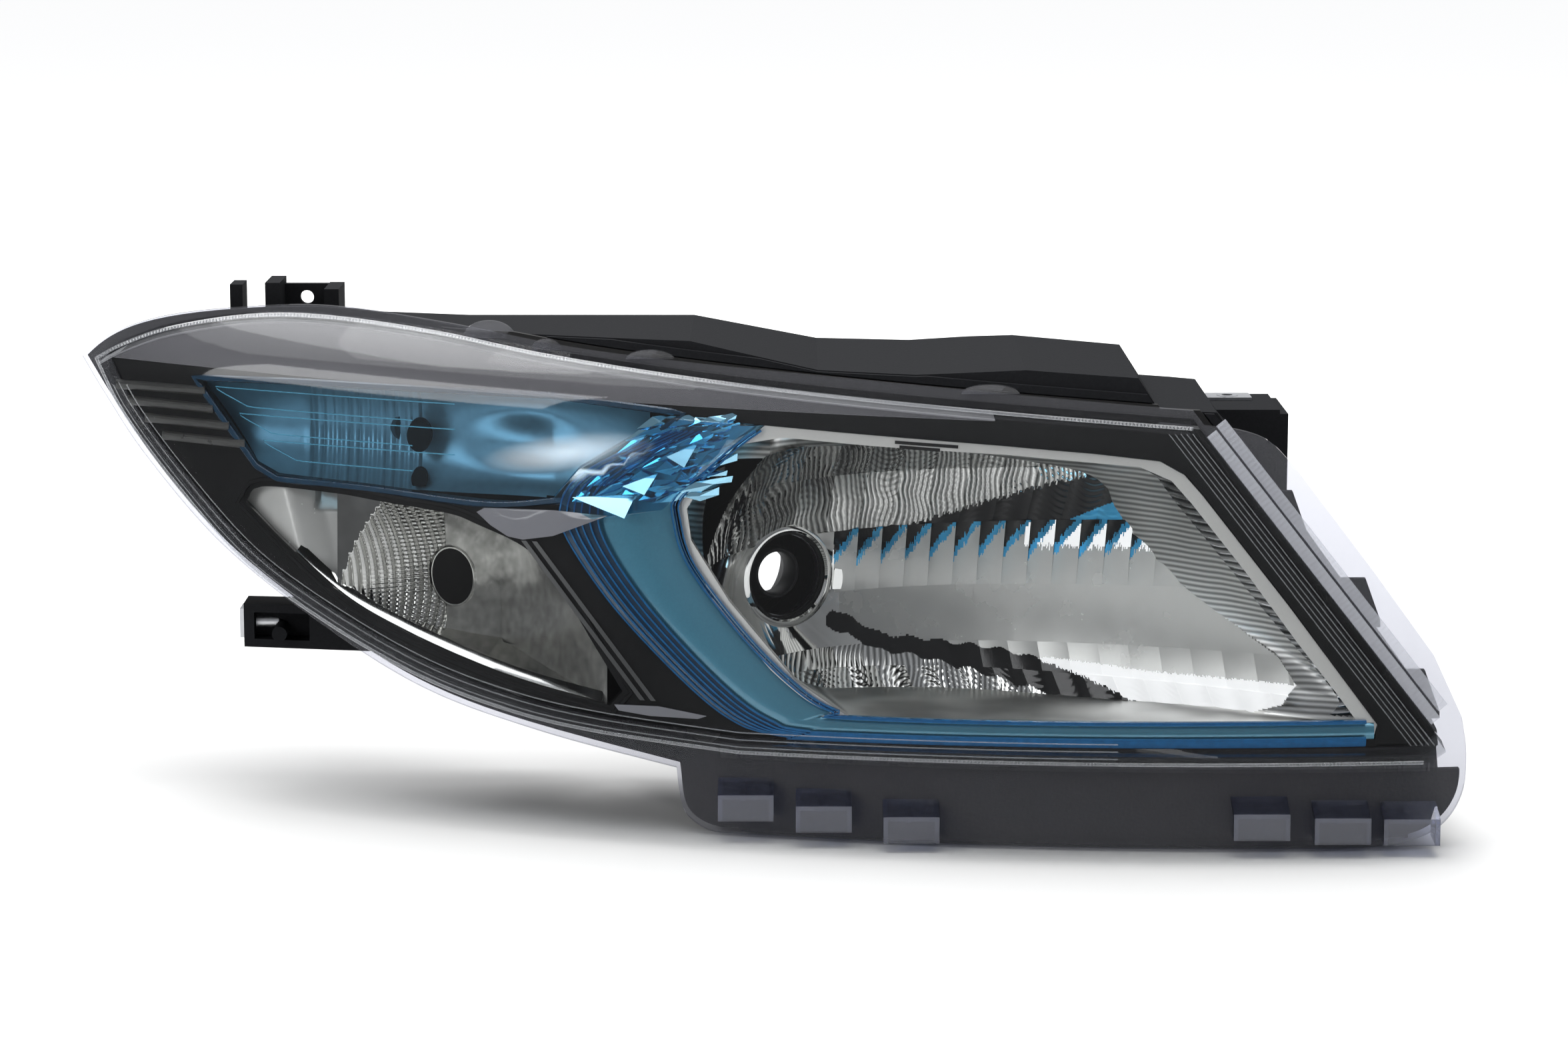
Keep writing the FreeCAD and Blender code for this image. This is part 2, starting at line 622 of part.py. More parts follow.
MOTOR_R, MOTOR_Q0, MOTOR_Q1 = 17.0, ALCOVE_Q + 2.1, ALCOVE_Q + 34.0


def make_level_motor():
    p, z = LEVEL
    body = rod(MOTOR_R, p, z, MOTOR_Q0, MOTOR_Q1)
    case = Part.makeBox(2 * MOTOR_R, 26, 22, Vec(p - MOTOR_R, MOTOR_Q0 + 4, z - MOTOR_R - 9))
    plug = Part.makeBox(18, 16, 10, Vec(p - 9, MOTOR_Q1 - 6, z - MOTOR_R - 6))
    mouth = Part.makeBox(15, 12, 7, Vec(p - 7.5, MOTOR_Q1 + 1, z - MOTOR_R - 4.5))
    nose = rod(8.8, p, z, ALCOVE_Q - 7, MOTOR_Q0)
    lugs = Part.makeBox(2 * MOTOR_R + 8, 3, 8, Vec(p - MOTOR_R - 4, MOTOR_Q0, z - 4))
    bore = rod(3.25, p, z, 0, 60)
    knob_bore = rod(5.05, p, z, MOTOR_Q1 - 12, MOTOR_Q1 + 10)
    return turned(union([body, case, plug, nose, lugs]).cut(mouth).cut(bore).cut(knob_bore))


def make_level_rod():
    return turned(ball_stud(LEVEL[0], LEVEL[1], 3.2, ALCOVE_Q + 14))


def knob(p, z, q0, shank_r, q_head):
    """An adjuster: a shank, a toothed head and a hexagon for a wrench."""
    head = rod(9, p, z, q_head, q_head + 6)
    teeth = []
    for i in range(16):
        a = 2 * math.pi * i / 16
        teeth.append(rod(1.4, p + 9 * math.cos(a), z + 9 * math.sin(a), q_head - 1, q_head + 7))
    hexagon = [
        Vec(p + 4.5 * math.cos(math.pi * i / 3), q_head + 6, z + 4.5 * math.sin(math.pi * i / 3))
        for i in range(6)
    ]
    nut = Part.Face(Part.makePolygon(hexagon + hexagon[:1])).extrude(Vec(0, 7, 0))
    head = head.cut(Part.makeCompound(teeth))
    return head.fuse([nut, rod(shank_r, p, z, q0, q_head)]).removeSplitter()


def make_vertical_adjuster():
    return turned(knob(LEVEL[0], LEVEL[1], ALCOVE_Q + 23, 5.0, MOTOR_Q1 + 1.5))


def make_side_rod():
    return turned(ball_stud(SIDE[0], SIDE[1], 3.2, ALCOVE_Q + 8))


def make_side_bush():
    flange = ring(10.5, 3.25, SIDE[0], SIDE[1], ALCOVE_Q + 4.05, ALCOVE_Q + 8)
    sleeve = ring(6.1, 3.25, SIDE[0], SIDE[1], ALCOVE_Q - 6, ALCOVE_Q + 4.05)
    tube = ring(7.5, 5.05, SIDE[0], SIDE[1], ALCOVE_Q + 8, ALCOVE_Q + 24)
    return turned(union([flange, sleeve, tube]))


def make_side_adjuster():
    return turned(knob(SIDE[0], SIDE[1], ALCOVE_Q + 13, 5.0, ALCOVE_Q + 25.5))


# ---------------------------------------------------------------- bulb seat, clip and boot
CLIP_Q, CLIP_WIRE_R = 3.6, 0.9
CLIP_HINGE_P, CLIP_BAR_P, CLIP_LEG_Z = -26.0, 23.6, 20.6
SEAT_FRONT, SEAT_BACK = -1.2, 1.3
SCREW_ANGLES = [math.radians(a) for a in (70, 180, 290)]
SCREW_CIRCLE = 24.6


def around(angle):
    """p and z on the seat's screw circle."""
    return SCREW_CIRCLE * math.cos(angle), SCREW_CIRCLE * math.sin(angle)


def make_seat_ring():
    whole = rod(SEAT_RING_R, 0, 0, SEAT_FRONT, SEAT_BACK)
    for z in (-24.5, 24.5):
        ear = Part.makeBox(5, CLIP_Q + 2.2 - SEAT_FRONT, 4, Vec(CLIP_HINGE_P - 2.5, SEAT_FRONT, z - 2))
        foot = Part.makeBox(10, SEAT_BACK - SEAT_FRONT, 14, Vec(CLIP_HINGE_P - 2.5, SEAT_FRONT, z - 7))
        whole = whole.fuse([ear, foot])
    post = Part.makeBox(3, CLIP_Q + 2 - SEAT_BACK, 12, Vec(CLIP_BAR_P + 2, SEAT_BACK - 0.2, -6))
    lip = Part.makeBox(2.4, 1.2, 12, Vec(CLIP_BAR_P + 1.1, CLIP_Q + 1.6, -6))
    whole = whole.fuse([post, lip]).removeSplitter()
    hinge = Part.makeCylinder(CLIP_WIRE_R + 0.05, 60, Vec(CLIP_HINGE_P, CLIP_Q, -30), Vec(0, 0, 1))
    whole = whole.cut(hinge).cut(rod(SEAT_BORE_R, 0, 0, -5, 20))
    for angle in SCREW_ANGLES:
        whole = whole.cut(rod(1.7, *around(angle), -5, 4))
    return turned(whole)


def make_seat_screws():
    screws = []
    for angle in SCREW_ANGLES:
        p, z = around(angle)
        head = rod(2.6, p, z, SEAT_BACK + 0.05, SEAT_BACK + 1.3)
        screws.append(head.fuse(rod(1.5, p, z, SEAT_FRONT - 4, SEAT_BACK + 0.05)))
    return turned(Part.makeCompound(screws))


def wire_path(points, radius):
    """A round wire through corners, with a ball at each bend."""
    pieces = []
    for a, b in zip(points, points[1:]):
        pieces.append(Part.makeCylinder(radius, (b - a).Length, a, b - a))
    for c in points[1:-1]:
        pieces.append(Part.makeSphere(radius, c))
    return union(pieces)


def make_bulb_clip():
    hinge, bar, leg, q = CLIP_HINGE_P, CLIP_BAR_P, CLIP_LEG_Z, CLIP_Q
    half = [(hinge, 26.6), (hinge, leg + 1.2), (hinge + 1.5, leg), (bar - 3, leg), (bar, leg - 3)]
    points = [Vec(p, q, z) for p, z in half] + [Vec(p, q, -z) for p, z in reversed(half)]
    return turned(wire_path(points, CLIP_WIRE_R))


def make_boot():
    profile = [
        (BOOT_HOLE_R, 4.6), (BOOT_HOLE_R + 2, 4.6), (BOOT_HOLE_R + 2, 14.5), (15, 19.5), (30, 44.2),
        (33.5, 44.5), (COLLAR_R + 0.1, 44.5), (COLLAR_R + 0.1, 34.5), (COLLAR_R + 2.8, 34.5), (COLLAR_R + 2.8, 46.8),
        (29.5, 47), (12.8, 20), (BOOT_HOLE_R, 15),
    ]
    return turned(spun(profile))


# ---------------------------------------------------------------- turn and position bulb holders
def bulb_holder(p, z, q_tip, q_collar, snout_r, flange_r):
    """A twist-in bulb holder: a snout, a flange on the collar, and a wing grip."""
    snout = rod(snout_r, p, z, q_tip, q_collar)
    flange = rod(flange_r, p, z, q_collar + 2.2, q_collar + 5)
    neck = rod(snout_r - 1, p, z, q_collar - 1, q_collar + 2.3)
    grip = Part.makeBox(2 * flange_r - 6, 12, 5, Vec(p - flange_r + 3, q_collar + 5, z - 2.5))
    socket_box = Part.makeBox(12, 14, 11, Vec(p - 6, q_collar + 5, z - 5.5))
    mouth = Part.makeBox(9, 9, 8, Vec(p - 4.5, q_collar + 11, z - 4))
    cavity = rod(snout_r - 2.5, p, z, q_tip - 1, q_tip + 14)
    return union([snout, flange, neck, grip, socket_box]).cut(mouth).cut(cavity)


def make_turn_holder():
    return turned(bulb_holder(TURN_P, TURN_Z, TURN_Q + 6, TURN_COLLAR_END, 13.0, 21.0))


def make_turn_holder_seal():
    return turned(ring(19.5, 12.4, TURN_P, TURN_Z, TURN_COLLAR_END + 0.05, TURN_COLLAR_END + 2.15))


def make_position_holder():
    return turned(bulb_holder(POSITION_P, POSITION_Z, POSITION_Q + 8, POSITION_COLLAR_END, 7.4, 14.0))


def make_position_holder_seal():
    q = POSITION_COLLAR_END
    return turned(ring(12.8, 6.7, POSITION_P, POSITION_Z, q + 0.05, q + 2.15))


# ---------------------------------------------------------------- fasteners, inserts and vents
def make_top_clip_nut():
    x, y = RIGHT_BRACKET[0] + 6, 62
    upper = block(x - 10, x + 11, y - 8, y + 8, 74.05, 75.4)
    lower = block(x - 10, x + 11, y - 8, y + 8, 68.6, 69.95)
    barrel = Part.makeCylinder(5.2, 9, Vec(x, y, 60), Vec(0, 0, 1))
    bore = Part.makeCylinder(2.6, 40, Vec(x, y, 50), Vec(0, 0, 1))
    sleeve = Part.makeCylinder(5.2, 7, Vec(x, y, 68.6), Vec(0, 0, 1))
    return union([upper, lower, barrel, sleeve]).cut(bore)


def make_side_insert():
    face = block(-260.5, -258.05, 57, 71, -41.5, -27.5)
    barrel = Part.makeCylinder(5.1, 16, Vec(-258.1, 64, SIDE_BRACKET_Z), Vec(1, 0, 0))
    bore = Part.makeCylinder(2.6, 60, Vec(-280, 64, SIDE_BRACKET_Z), Vec(1, 0, 0))
    return face.fuse(barrel).removeSplitter().cut(bore)


VENTS = [(74, 78), (-150, 40)]


def make_vent_caps():
    caps = []
    for x, z in VENTS:
        base = Part.makeCylinder(8, 4, Vec(x, BACK_Y + 0.05, z), Vec(0, 1, 0))
        hood = Part.makeCylinder(11, 7, Vec(x, BACK_Y + 4, z), Vec(0, 1, 0))
        caps.append(base.fuse(hood).removeSplitter())
    return Part.makeCompound(caps)


NODES = {
    "lens": make_lens,
    "lens_seal": make_seal,
    "housing": make_housing,
    "housing_inner_end": make_housing_inner_end,
    "bulb_access": make_bulb_access,
    "bezel": make_bezel,
    "accent_trim": make_accent_trim,
    "position_lens": make_position_lens,
    "beam_frame": make_beam_frame,
    "position_reflector": make_position_reflector,
    "turn_reflector": make_turn_reflector,
    "turn_side_trim": make_turn_side_trim,
    "bezel_strips": make_bezel_strips,
    "main_reflector": make_main_reflector,
    "level_socket": lambda: make_socket(LEVEL),
    "side_socket": lambda: make_socket(SIDE),
    "pivot_socket": lambda: make_socket(PIVOT),
    "pivot_stud": make_pivot_stud,
    "pivot_ball": make_pivot_ball,
    "level_motor": make_level_motor,
    "level_rod": make_level_rod,
    "vertical_adjuster": make_vertical_adjuster,
    "side_rod": make_side_rod,
    "side_bush": make_side_bush,
    "side_adjuster": make_side_adjuster,
    "bulb_seat_ring": make_seat_ring,
    "seat_ring_screws": make_seat_screws,
    "bulb_clip": make_bulb_clip,
    "rubber_boot": make_boot,
    "turn_bulb_holder": make_turn_holder,
    "turn_holder_seal": make_turn_holder_seal,
    "position_bulb_holder": make_position_holder,
    "position_holder_seal": make_position_holder_seal,
    "top_clip_nut": make_top_clip_nut,
    "side_insert": make_side_insert,
    "vent_caps": make_vent_caps,
}


def main():
    os.makedirs("parts", exist_ok=True)
    for old in os.listdir("parts"):
        if old.endswith(".step"):
            os.remove(os.path.join("parts", old))
    for name, make in NODES.items():
        shape = make()
        solids = shape.Solids
        state = "ok" if shape.isValid() and solids else "BAD"
        print(f"{name:24s} {state} solids {len(solids)} volume {shape.Volume / 1000:9.2f} cm3")
        shape.exportStep(f"parts/{name}.step")


main()
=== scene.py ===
import json
import math
from itertools import chain

import bpy
import numpy as np
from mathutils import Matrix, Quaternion, Vector
from mathutils.geometry import delaunay_2d_cdt


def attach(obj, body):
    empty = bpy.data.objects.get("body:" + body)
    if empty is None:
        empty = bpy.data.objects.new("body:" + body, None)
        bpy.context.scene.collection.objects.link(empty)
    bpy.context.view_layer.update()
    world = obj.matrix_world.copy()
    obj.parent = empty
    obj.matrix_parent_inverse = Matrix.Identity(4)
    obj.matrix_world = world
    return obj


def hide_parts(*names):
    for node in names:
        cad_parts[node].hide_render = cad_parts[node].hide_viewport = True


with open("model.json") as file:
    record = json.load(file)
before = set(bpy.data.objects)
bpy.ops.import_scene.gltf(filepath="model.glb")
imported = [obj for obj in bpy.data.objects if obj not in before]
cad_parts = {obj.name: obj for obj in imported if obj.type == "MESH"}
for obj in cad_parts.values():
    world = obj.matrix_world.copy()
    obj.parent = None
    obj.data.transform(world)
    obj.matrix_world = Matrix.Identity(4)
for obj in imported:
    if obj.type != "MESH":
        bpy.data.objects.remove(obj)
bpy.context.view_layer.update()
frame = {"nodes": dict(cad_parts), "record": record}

BODY = "lamp_body"
UNIT = "main_reflector_unit"
YAW = math.radians(32)  # the optical axis, turned from the car's length
COS, SIN = math.cos(YAW), math.sin(YAW)
FOCAL = 30.0  # the main reflector's focal length
SEAT_R = 21.5  # the reflector's opening for the bulb seat
FLOOR_Z = -106.5
FLANGE_BACK = 34.0  # the back of the lens's flange, behind the lens's face
BEZEL_BACK = 15.0  # the bezel's front, behind the lens's face
WALL_BACK = 35.0  # the front edge of the moving reflector's wall


# ---------------------------------------------------------------- surfaces, in millimetres
def sweep(x):
    """Depth of the lens's face along the lamp."""
    return -121.0 + 5.9 * ((np.asarray(x, float) - 200) / 100) ** 2


def roll_start(x):
    """Height at which the lens's face rolls back over the lamp."""
    return 91.0 - 9.0 * (x + 312) / 495


def face(x, z, back=0.0, roll=False):
    """Depth of the lens's face, or of a surface that lies back from it."""
    x, z = np.asarray(x, float), np.asarray(z, float)
    over = np.maximum(0.0, z - roll_start(x)) if roll else 0.0
    return sweep(x) + 0.15 * z + 0.025 * over * over + back


def flat(back):
    """A depth surface that lies back from the lens's face, without its roll."""
    return lambda x, z: face(x, z, back)


def rolled(back):
    """A depth surface that lies back from the lens's face, with its roll."""
    return lambda x, z: face(x, z, back, True)


def level(y):
    """A depth surface that is one plane."""
    return lambda x, z: np.full(np.shape(x), float(y))


def placed(points, depth):
    """Points in x, y, z from (x, z) points on a depth surface."""
    x, z = points[..., 0], points[..., 1]
    return np.stack([x, depth(x, z), z], -1)


def optic(p, q, z):
    """A point of the optical frame in the lamp's frame."""
    return np.stack(np.broadcast_arrays(COS * p - SIN * q, SIN * p + COS * q, z), -1)


def bowl_y(x, z):
    """Depth of the main reflector's paraboloid at x, z."""
    x, z = np.asarray(x, float), np.asarray(z, float)
    k = 1 / (4 * FOCAL)
    a = SIN * SIN * k
    b = COS + 2 * COS * SIN * x * k
    c = (COS * COS * x * x + z * z) * k - SIN * x
    return (-b + np.sqrt(np.maximum(b * b - 4 * a * c, 0.0))) / (2 * a)


# ---------------------------------------------------------------- outlines
def spline(p0, p1, p2, p3, t):
    """The points at fractions t of a smooth curve's run from p1 to p2."""
    return 0.5 * (
        2 * p1
        + (p2 - p0) * t
        + (2 * p0 - 5 * p1 + 4 * p2 - p3) * t * t
        + (3 * p1 - p0 - 3 * p2 + p3) * t**3
    )


def catmull(points, step):
    """Points at about one step apart on a smooth curve through the given ones."""
    pts = np.asarray(points, float)
    ends = np.vstack([2 * pts[0] - pts[1], pts, 2 * pts[-1] - pts[-2]])
    out = []
    for i in range(1, len(ends) - 2):
        n = max(1, int(round(np.linalg.norm(ends[i + 1] - ends[i]) / step)))
        out.append(spline(*ends[i - 1 : i + 3], np.arange(n)[:, None] / n))
    out.append(pts[-1:])
    return np.vstack(out)


def turned_up(loop):
    """A loop in counter-clockwise order."""
    x, z = loop[:, 0], loop[:, 1]
    return loop if np.sum(x * np.roll(z, -1) - np.roll(x, -1) * z) > 0 else loop[::-1]


def outline(points, step=4.0):
    """A closed loop of points, smooth through those marked with a third value."""
    marks = [len(p) > 2 for p in points]
    first = marks.index(False)
    pts = [p[:2] for p in points[first:] + points[: first + 1]]
    marks = marks[first:] + marks[: first + 1]
    out, run = [], [pts[0]]
    for p, smooth in zip(pts[1:], marks[1:]):
        run.append(p)
        if not smooth:
            out.append(catmull(run, step)[:-1])
            run = [p]
    return turned_up(np.vstack(out))


def grow(loop, by):
    """A counter-clockwise loop moved outwards."""
    d1, d2 = loop - np.roll(loop, 1, 0), np.roll(loop, -1, 0) - loop
    n1, n2 = (np.stack([d[:, 1], -d[:, 0]], 1) / np.linalg.norm(d, axis=1)[:, None] for d in (d1, d2))
    bend = np.maximum(0.4, 1 + np.sum(n1 * n2, 1))[:, None]
    return loop + by * (n1 + n2) / bend


def evenly(path, count):
    """A number of points, evenly spaced along a path."""
    length = np.concatenate([[0], np.cumsum(np.linalg.norm(np.diff(path, axis=0), axis=1))])
    at = np.linspace(0, length[-1], count)
    return np.stack([np.interp(at, length, path[:, k]) for k in (0, 1)], 1)


def resample(path, step):
    """Points at about one step apart along a path."""
    path = np.asarray(path, float)
    total = np.cumsum(np.linalg.norm(np.diff(path, axis=0), axis=1))[-1]
    return evenly(path, max(2, int(round(total / step))) + 1)


def inside(loop, pts):
    """Which points lie inside a loop."""
    x, z = pts[:, 0][:, None], pts[:, 1][:, None]
    ax, az = loop[:, 0][None], loop[:, 1][None]
    bx, bz = np.roll(loop[:, 0], -1)[None], np.roll(loop[:, 1], -1)[None]
    crosses = ((az > z) != (bz > z)) & (x < (bx - ax) * (z - az) / np.where(bz == az, 1e-9, bz - az) + ax)
    return crosses.sum(1) % 2 == 1


def part_of(loop, test):
    """The run of a loop's points that pass a test, in order."""
    ok = np.array([test(x, z) for x, z in loop])
    start = next(i for i in range(len(loop)) if ok[i] and not ok[i - 1])
    return np.roll(loop, -start, 0)[: np.argmin(np.roll(ok, -start))]


RIDGE_POINTS = [
    (-326, 94), (-312, 101.5, 1), (-288, 110, 1), (-250, 117, 1), (-212, 118.5, 1), (-160, 115, 1),
    (-106, 108, 1), (-30, 100.5, 1), (60, 93.5, 1), (183, 85), (290, -51), (292, -56), (285, -60.5),
    (-20, -61.5), (-86, -56, 1), (-126, -49.5, 1), (-166, -38, 1), (-210, -18, 1), (-250, 6, 1),
    (-285, 39, 1), (-312, 70, 1),
]
FLANGE_POINTS = [
    (-339, 90), (-325, 101, 1), (-296, 112, 1), (-256, 119, 1), (-212, 122.5, 1), (-156, 118, 1),
    (-81, 108, 1), (47, 99, 1), (183, 88.5), (188, 82), (204, 80, 1), (217, 75, 1), (228, 64),
    (264, 17), (291, -20), (304, -48), (306, -64, 1), (304, -82, 1), (294, -96, 1), (276, -103, 1),
    (250, -105), (-22, -105), (-34, -104, 1), (-44, -97, 1), (-47, -86, 1), (-48, -77),
    (-114, -64.5, 1), (-168, -49.5, 1), (-220, -23, 1), (-267, 8, 1), (-305, 45, 1), (-327, 73, 1),
]
MAIN_OPENING = [
    (-8, 81), (96, 75), (138, 72), (167, 69), (178, 63), (186, 54), (224, 6), (264, -47), (262, -54),
    (30, -56), (14, -50), (-30, -1), (-44, 26), (-48, 42), (-40, 54),
]
BEZEL_OPENING = [
    (-276, 86.5), (-226, 88.5), (-106, 89.5), (-46, 84.5), (-8, 82), (96, 76), (138, 73), (168, 70),
    (179, 64), (187, 55), (225, 7), (265, -47), (263, -56.5), (20, -58, 1), (3, -56.5, 1),
    (-16, -52, 1), (-37, -38, 1), (-71, -4, 1), (-93, 26, 1), (-97, 40), (-135, 39, 1),
    (-190, 42, 1), (-236, 43.5), (-247, 48.5),
]
TURN = [
    (-252, 31), (-244, 39, 1), (-208, 39, 1), (-186, 37, 1), (-154, 34, 1), (-140, 30, 1),
    (-116, 20, 1), (-100, 3, 1), (-87, -18, 1), (-72, -41), (-78, -48), (-114, -41, 1), (-143, -33, 1),
    (-174, -22, 1), (-202, -9, 1), (-230, 12, 1),
]
POSITION = [
    (-276, 86), (-226, 88), (-106, 89), (-46, 84), (-84, 58), (-100, 44), (-135, 40, 1),
    (-190, 43, 1), (-236, 44), (-246, 49),
]
ARM_OUTER = [
    (-42, 79), (-68, 66), (-88, 53), (-95, 41), (-92, 26), (-70, -4), (-36, -37), (-14, -51.5),
    (6, -55.5), (30, -56), (262, -54.5),
]
ARM_INNER = [
    (-8, 80.5), (-22, 70), (-35, 58), (-47, 47), (-48, 38), (-41, 17), (-16, -14), (8, -36),
    (24, -44.5), (40, -47), (262, -45.5),
]
RIM_KEYS = [
    (-33, 50), (-26, 62), (0, 64), (37, 64.5), (91, 60), (132, 55), (146, 48), (150, 37), (175, 10),
    (200, -11), (221, -25), (227, -34), (222, -41.5), (207, -47), (145, -50.5), (90, -51), (20, -51),
    (-8, -38), (-30, -10), (-36, 20), (-36, 36),
]
HOLE_KEYS = [
    (-37, 52), (-22, 71), (0, 75.5), (40, 73), (100, 70.5), (158, 66), (172, 60), (181, 50), (205, 20),
    (228, -11), (246, -34), (254, -45), (251, -48.5), (232, -49), (145, -49), (90, -49), (32, -48.5),
    (6, -32), (-24, 2), (-41, 28), (-43, 42),
]
RIDGE = outline(RIDGE_POINTS, 3.0)
FLANGE = outline(FLANGE_POINTS, 3.0)


# ---------------------------------------------------------------- mesh building
def make(name, verts, faces, finish, slot, body=BODY, replaces=(), angle=30.0, smooth=True):
    """A mesh object from millimetre points, riding on a body."""
    used = np.unique(np.fromiter(chain.from_iterable(faces), int))
    place = np.zeros(len(verts), int)
    place[used] = np.arange(len(used))
    points = np.asarray(verts, float)[used] * 0.001
    mesh = bpy.data.meshes.new(name)
    mesh.from_pydata(points.tolist(), [], [place[list(f)].tolist() for f in faces])
    mesh.validate()
    mesh.update()
    if smooth:
        mesh.polygons.foreach_set("use_smooth", [True] * len(mesh.polygons))
        mesh.set_sharp_from_angle(angle=math.radians(angle))
    mesh.materials.append(FINISH[finish])
    piece = bpy.data.objects.new(name, mesh)
    bpy.context.scene.collection.objects.link(piece)
    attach(piece, body)
    if replaces:
        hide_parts(*replaces)


class Solid:
    """Points and faces gathered from several closed shapes."""

    def __init__(self, *shapes):
        self.verts, self.faces, self.count = [], [], 0
        for shape in shapes:
            self.add(*shape)

    def add(self, verts, faces):
        verts = np.asarray(verts, float).reshape(-1, 3)
        self.verts.append(verts)
        self.faces += [tuple(i + self.count for i in f) for f in faces]
        self.count += len(verts)

    def make(self, name, finish, slot, **more):
        make(name, np.vstack(self.verts), self.faces, finish, slot, **more)


def triangles(loops, spacing):
    """A triangle mesh over a loop with holes, with points about one spacing apart inside."""

    def covered(points):
        return inside(loops[0], points) & ~np.any([inside(hole, points) for hole in loops[1:]], 0)

    low, high = loops[0].min(0), loops[0].max(0)
    xs = np.arange(low[0] + spacing / 2, high[0], spacing)
    zs = np.arange(low[1] + spacing / 2, high[1], spacing * 0.9)
    grid = np.array([(x + (j % 2) * spacing / 2, z) for j, z in enumerate(zs) for x in xs])
    grid = grid[covered(grid)]
    border = np.vstack(loops)
    clear = [np.min(np.sum((border - g) ** 2, 1)) > (0.55 * spacing) ** 2 for g in grid]
    points = np.vstack([border, grid[np.array(clear, bool)]])
    edges, start = [], 0
    for loop in loops:
        n = len(loop)
        edges += [(start + i, start + (i + 1) % n) for i in range(n)]
        start += n
    got = delaunay_2d_cdt([Vector(p) for p in points], edges, [], 1, 1e-5)
    verts = np.array([tuple(v) for v in got[0]])
    faces = np.array([f for f in got[2] if len(f) == 3])
    faces = faces[covered(verts[faces].mean(1))]
    a, b, c = verts[faces[:, 0]], verts[faces[:, 1]], verts[faces[:, 2]]
    clockwise = (b[:, 0] - a[:, 0]) * (c[:, 1] - a[:, 1]) < (b[:, 1] - a[:, 1]) * (c[:, 0] - a[:, 0])
    faces[clockwise] = faces[clockwise][:, ::-1]
    return verts, faces


def slab_data(loops, front, back, spacing=6.0):
    """A closed plate over a loop with holes, between two depth surfaces."""
    points, faces = triangles(loops, spacing)
    n = len(points)
    verts = np.vstack([placed(points, front), placed(points, back)])
    sides = dict.fromkeys((f[k], f[(k + 1) % 3]) for f in faces for k in range(3))
    walls = [(b, a, a + n, b + n) for a, b in sides if (b, a) not in sides]
    return verts, [tuple(f) for f in faces] + [tuple(f[::-1] + n) for f in faces] + walls


def ring_faces(count, length, closed=True):
    """The faces of a tube whose wall section is a number of rings of points."""
    faces = []
    for i in range(length if closed else length - 1):
        k = (i + 1) % length
        for j in range(count):
            a, b = j * length, (j + 1) % count * length
            faces.append((a + i, a + k, b + k, b + i))
    return faces


def wall_data(loop, front, back, thick):
    """A closed tube wall along +Y under a loop."""
    inner = grow(loop, -thick)
    rings = [placed(*side) for side in ((loop, front), (loop, back), (inner, back), (inner, front))]
    return np.vstack(rings), ring_faces(4, len(loop))


def sheet_data(grid, thick, closed=False, keep=None):
    """A closed sheet from an (rows, columns, 3) grid, thickened along +Y, with some cells left out."""
    rows, cols = grid.shape[:2]
    n = rows * cols
    verts = np.vstack([grid.reshape(-1, 3), grid.reshape(-1, 3) + (0.0, thick, 0.0)])
    cells = []
    for i in range(rows - 1):
        for j in range(cols if closed else cols - 1):
            if keep is None or keep[i, j]:
                a, b = i * cols + j, i * cols + (j + 1) % cols
                cells.append((a, b, b + cols, a + cols))
    sides = {(c[k], c[(k + 1) % 4]) for c in cells for k in range(4)}
    walls = sorted((b, a, a + n, b + n) for a, b in sides if (b, a) not in sides)
    return verts, cells + [tuple(v + n for v in c[::-1]) for c in cells] + walls


def centres(grid):
    """The middles of a grid's cells."""
    return (grid[:-1, :-1] + grid[1:, :-1] + grid[:-1, 1:] + grid[1:, 1:]) / 4


def cell_mask(grid, test):
    """Which cells of a grid have a centre that passes a test of x, y, z."""
    middle = centres(grid)
    return test(middle.reshape(-1, 3)).reshape(middle.shape[:2])


def within(loop):
    """A test of whether x, y, z points lie inside a loop, seen from the front."""
    return lambda at: inside(loop, at[:, [0, 2]])


def swept_data(path, depth, profile, closed=False, lift=1.0):
    """A bar along an (x, z) path on a depth surface. The profile is (across, outwards) corners."""
    path = np.asarray(path, float)
    ahead = np.roll(path, -1, 0) - np.roll(path, 1, 0) if closed else np.gradient(path, axis=0)
    ahead /= np.linalg.norm(ahead, axis=1)[:, None]
    side = np.stack([ahead[:, 1], -ahead[:, 0]], 1)
    rings = []
    for across, out in profile:
        ring = placed(path + side * across, depth)
        ring[:, 1] -= out * lift if out > 0 else out
        rings.append(ring)
    verts = np.stack(rings, 1).reshape(-1, 3)
    m, n = len(profile), len(path)
    faces = []
    for i in range(n if closed else n - 1):
        for j in range(m):
            a, b = i * m + j, i * m + (j + 1) % m
            k = ((i + 1) % n) * m
            faces.append((a, b, k + (j + 1) % m, k + j))
    if not closed:
        faces.append(tuple(range(m))[::-1])
        faces.append(tuple((n - 1) * m + j for j in range(m)))
    return verts, faces


def box_data(first, second):
    """A box with eight corners from two quads."""
    verts = np.vstack([first, second])
    return verts, [(3, 2, 1, 0), (4, 5, 6, 7), (0, 1, 5, 4), (1, 2, 6, 5), (2, 3, 7, 6), (3, 0, 4, 7)]


def lathe_data(profile, turns):
    """A body turned about the optical axis, from (radius, q) corners."""
    verts, faces = [], []
    m = len(profile)
    for i in range(turns):
        a = 2 * math.pi * i / turns
        k = (i + 1) % turns
        for j, (r, q) in enumerate(profile):
            verts.append(optic(r * math.cos(a), q, r * math.sin(a)))
            faces.append((i * m + j, k * m + j, k * m + (j + 1) % m, i * m + (j + 1) % m))
    return np.array(verts), faces


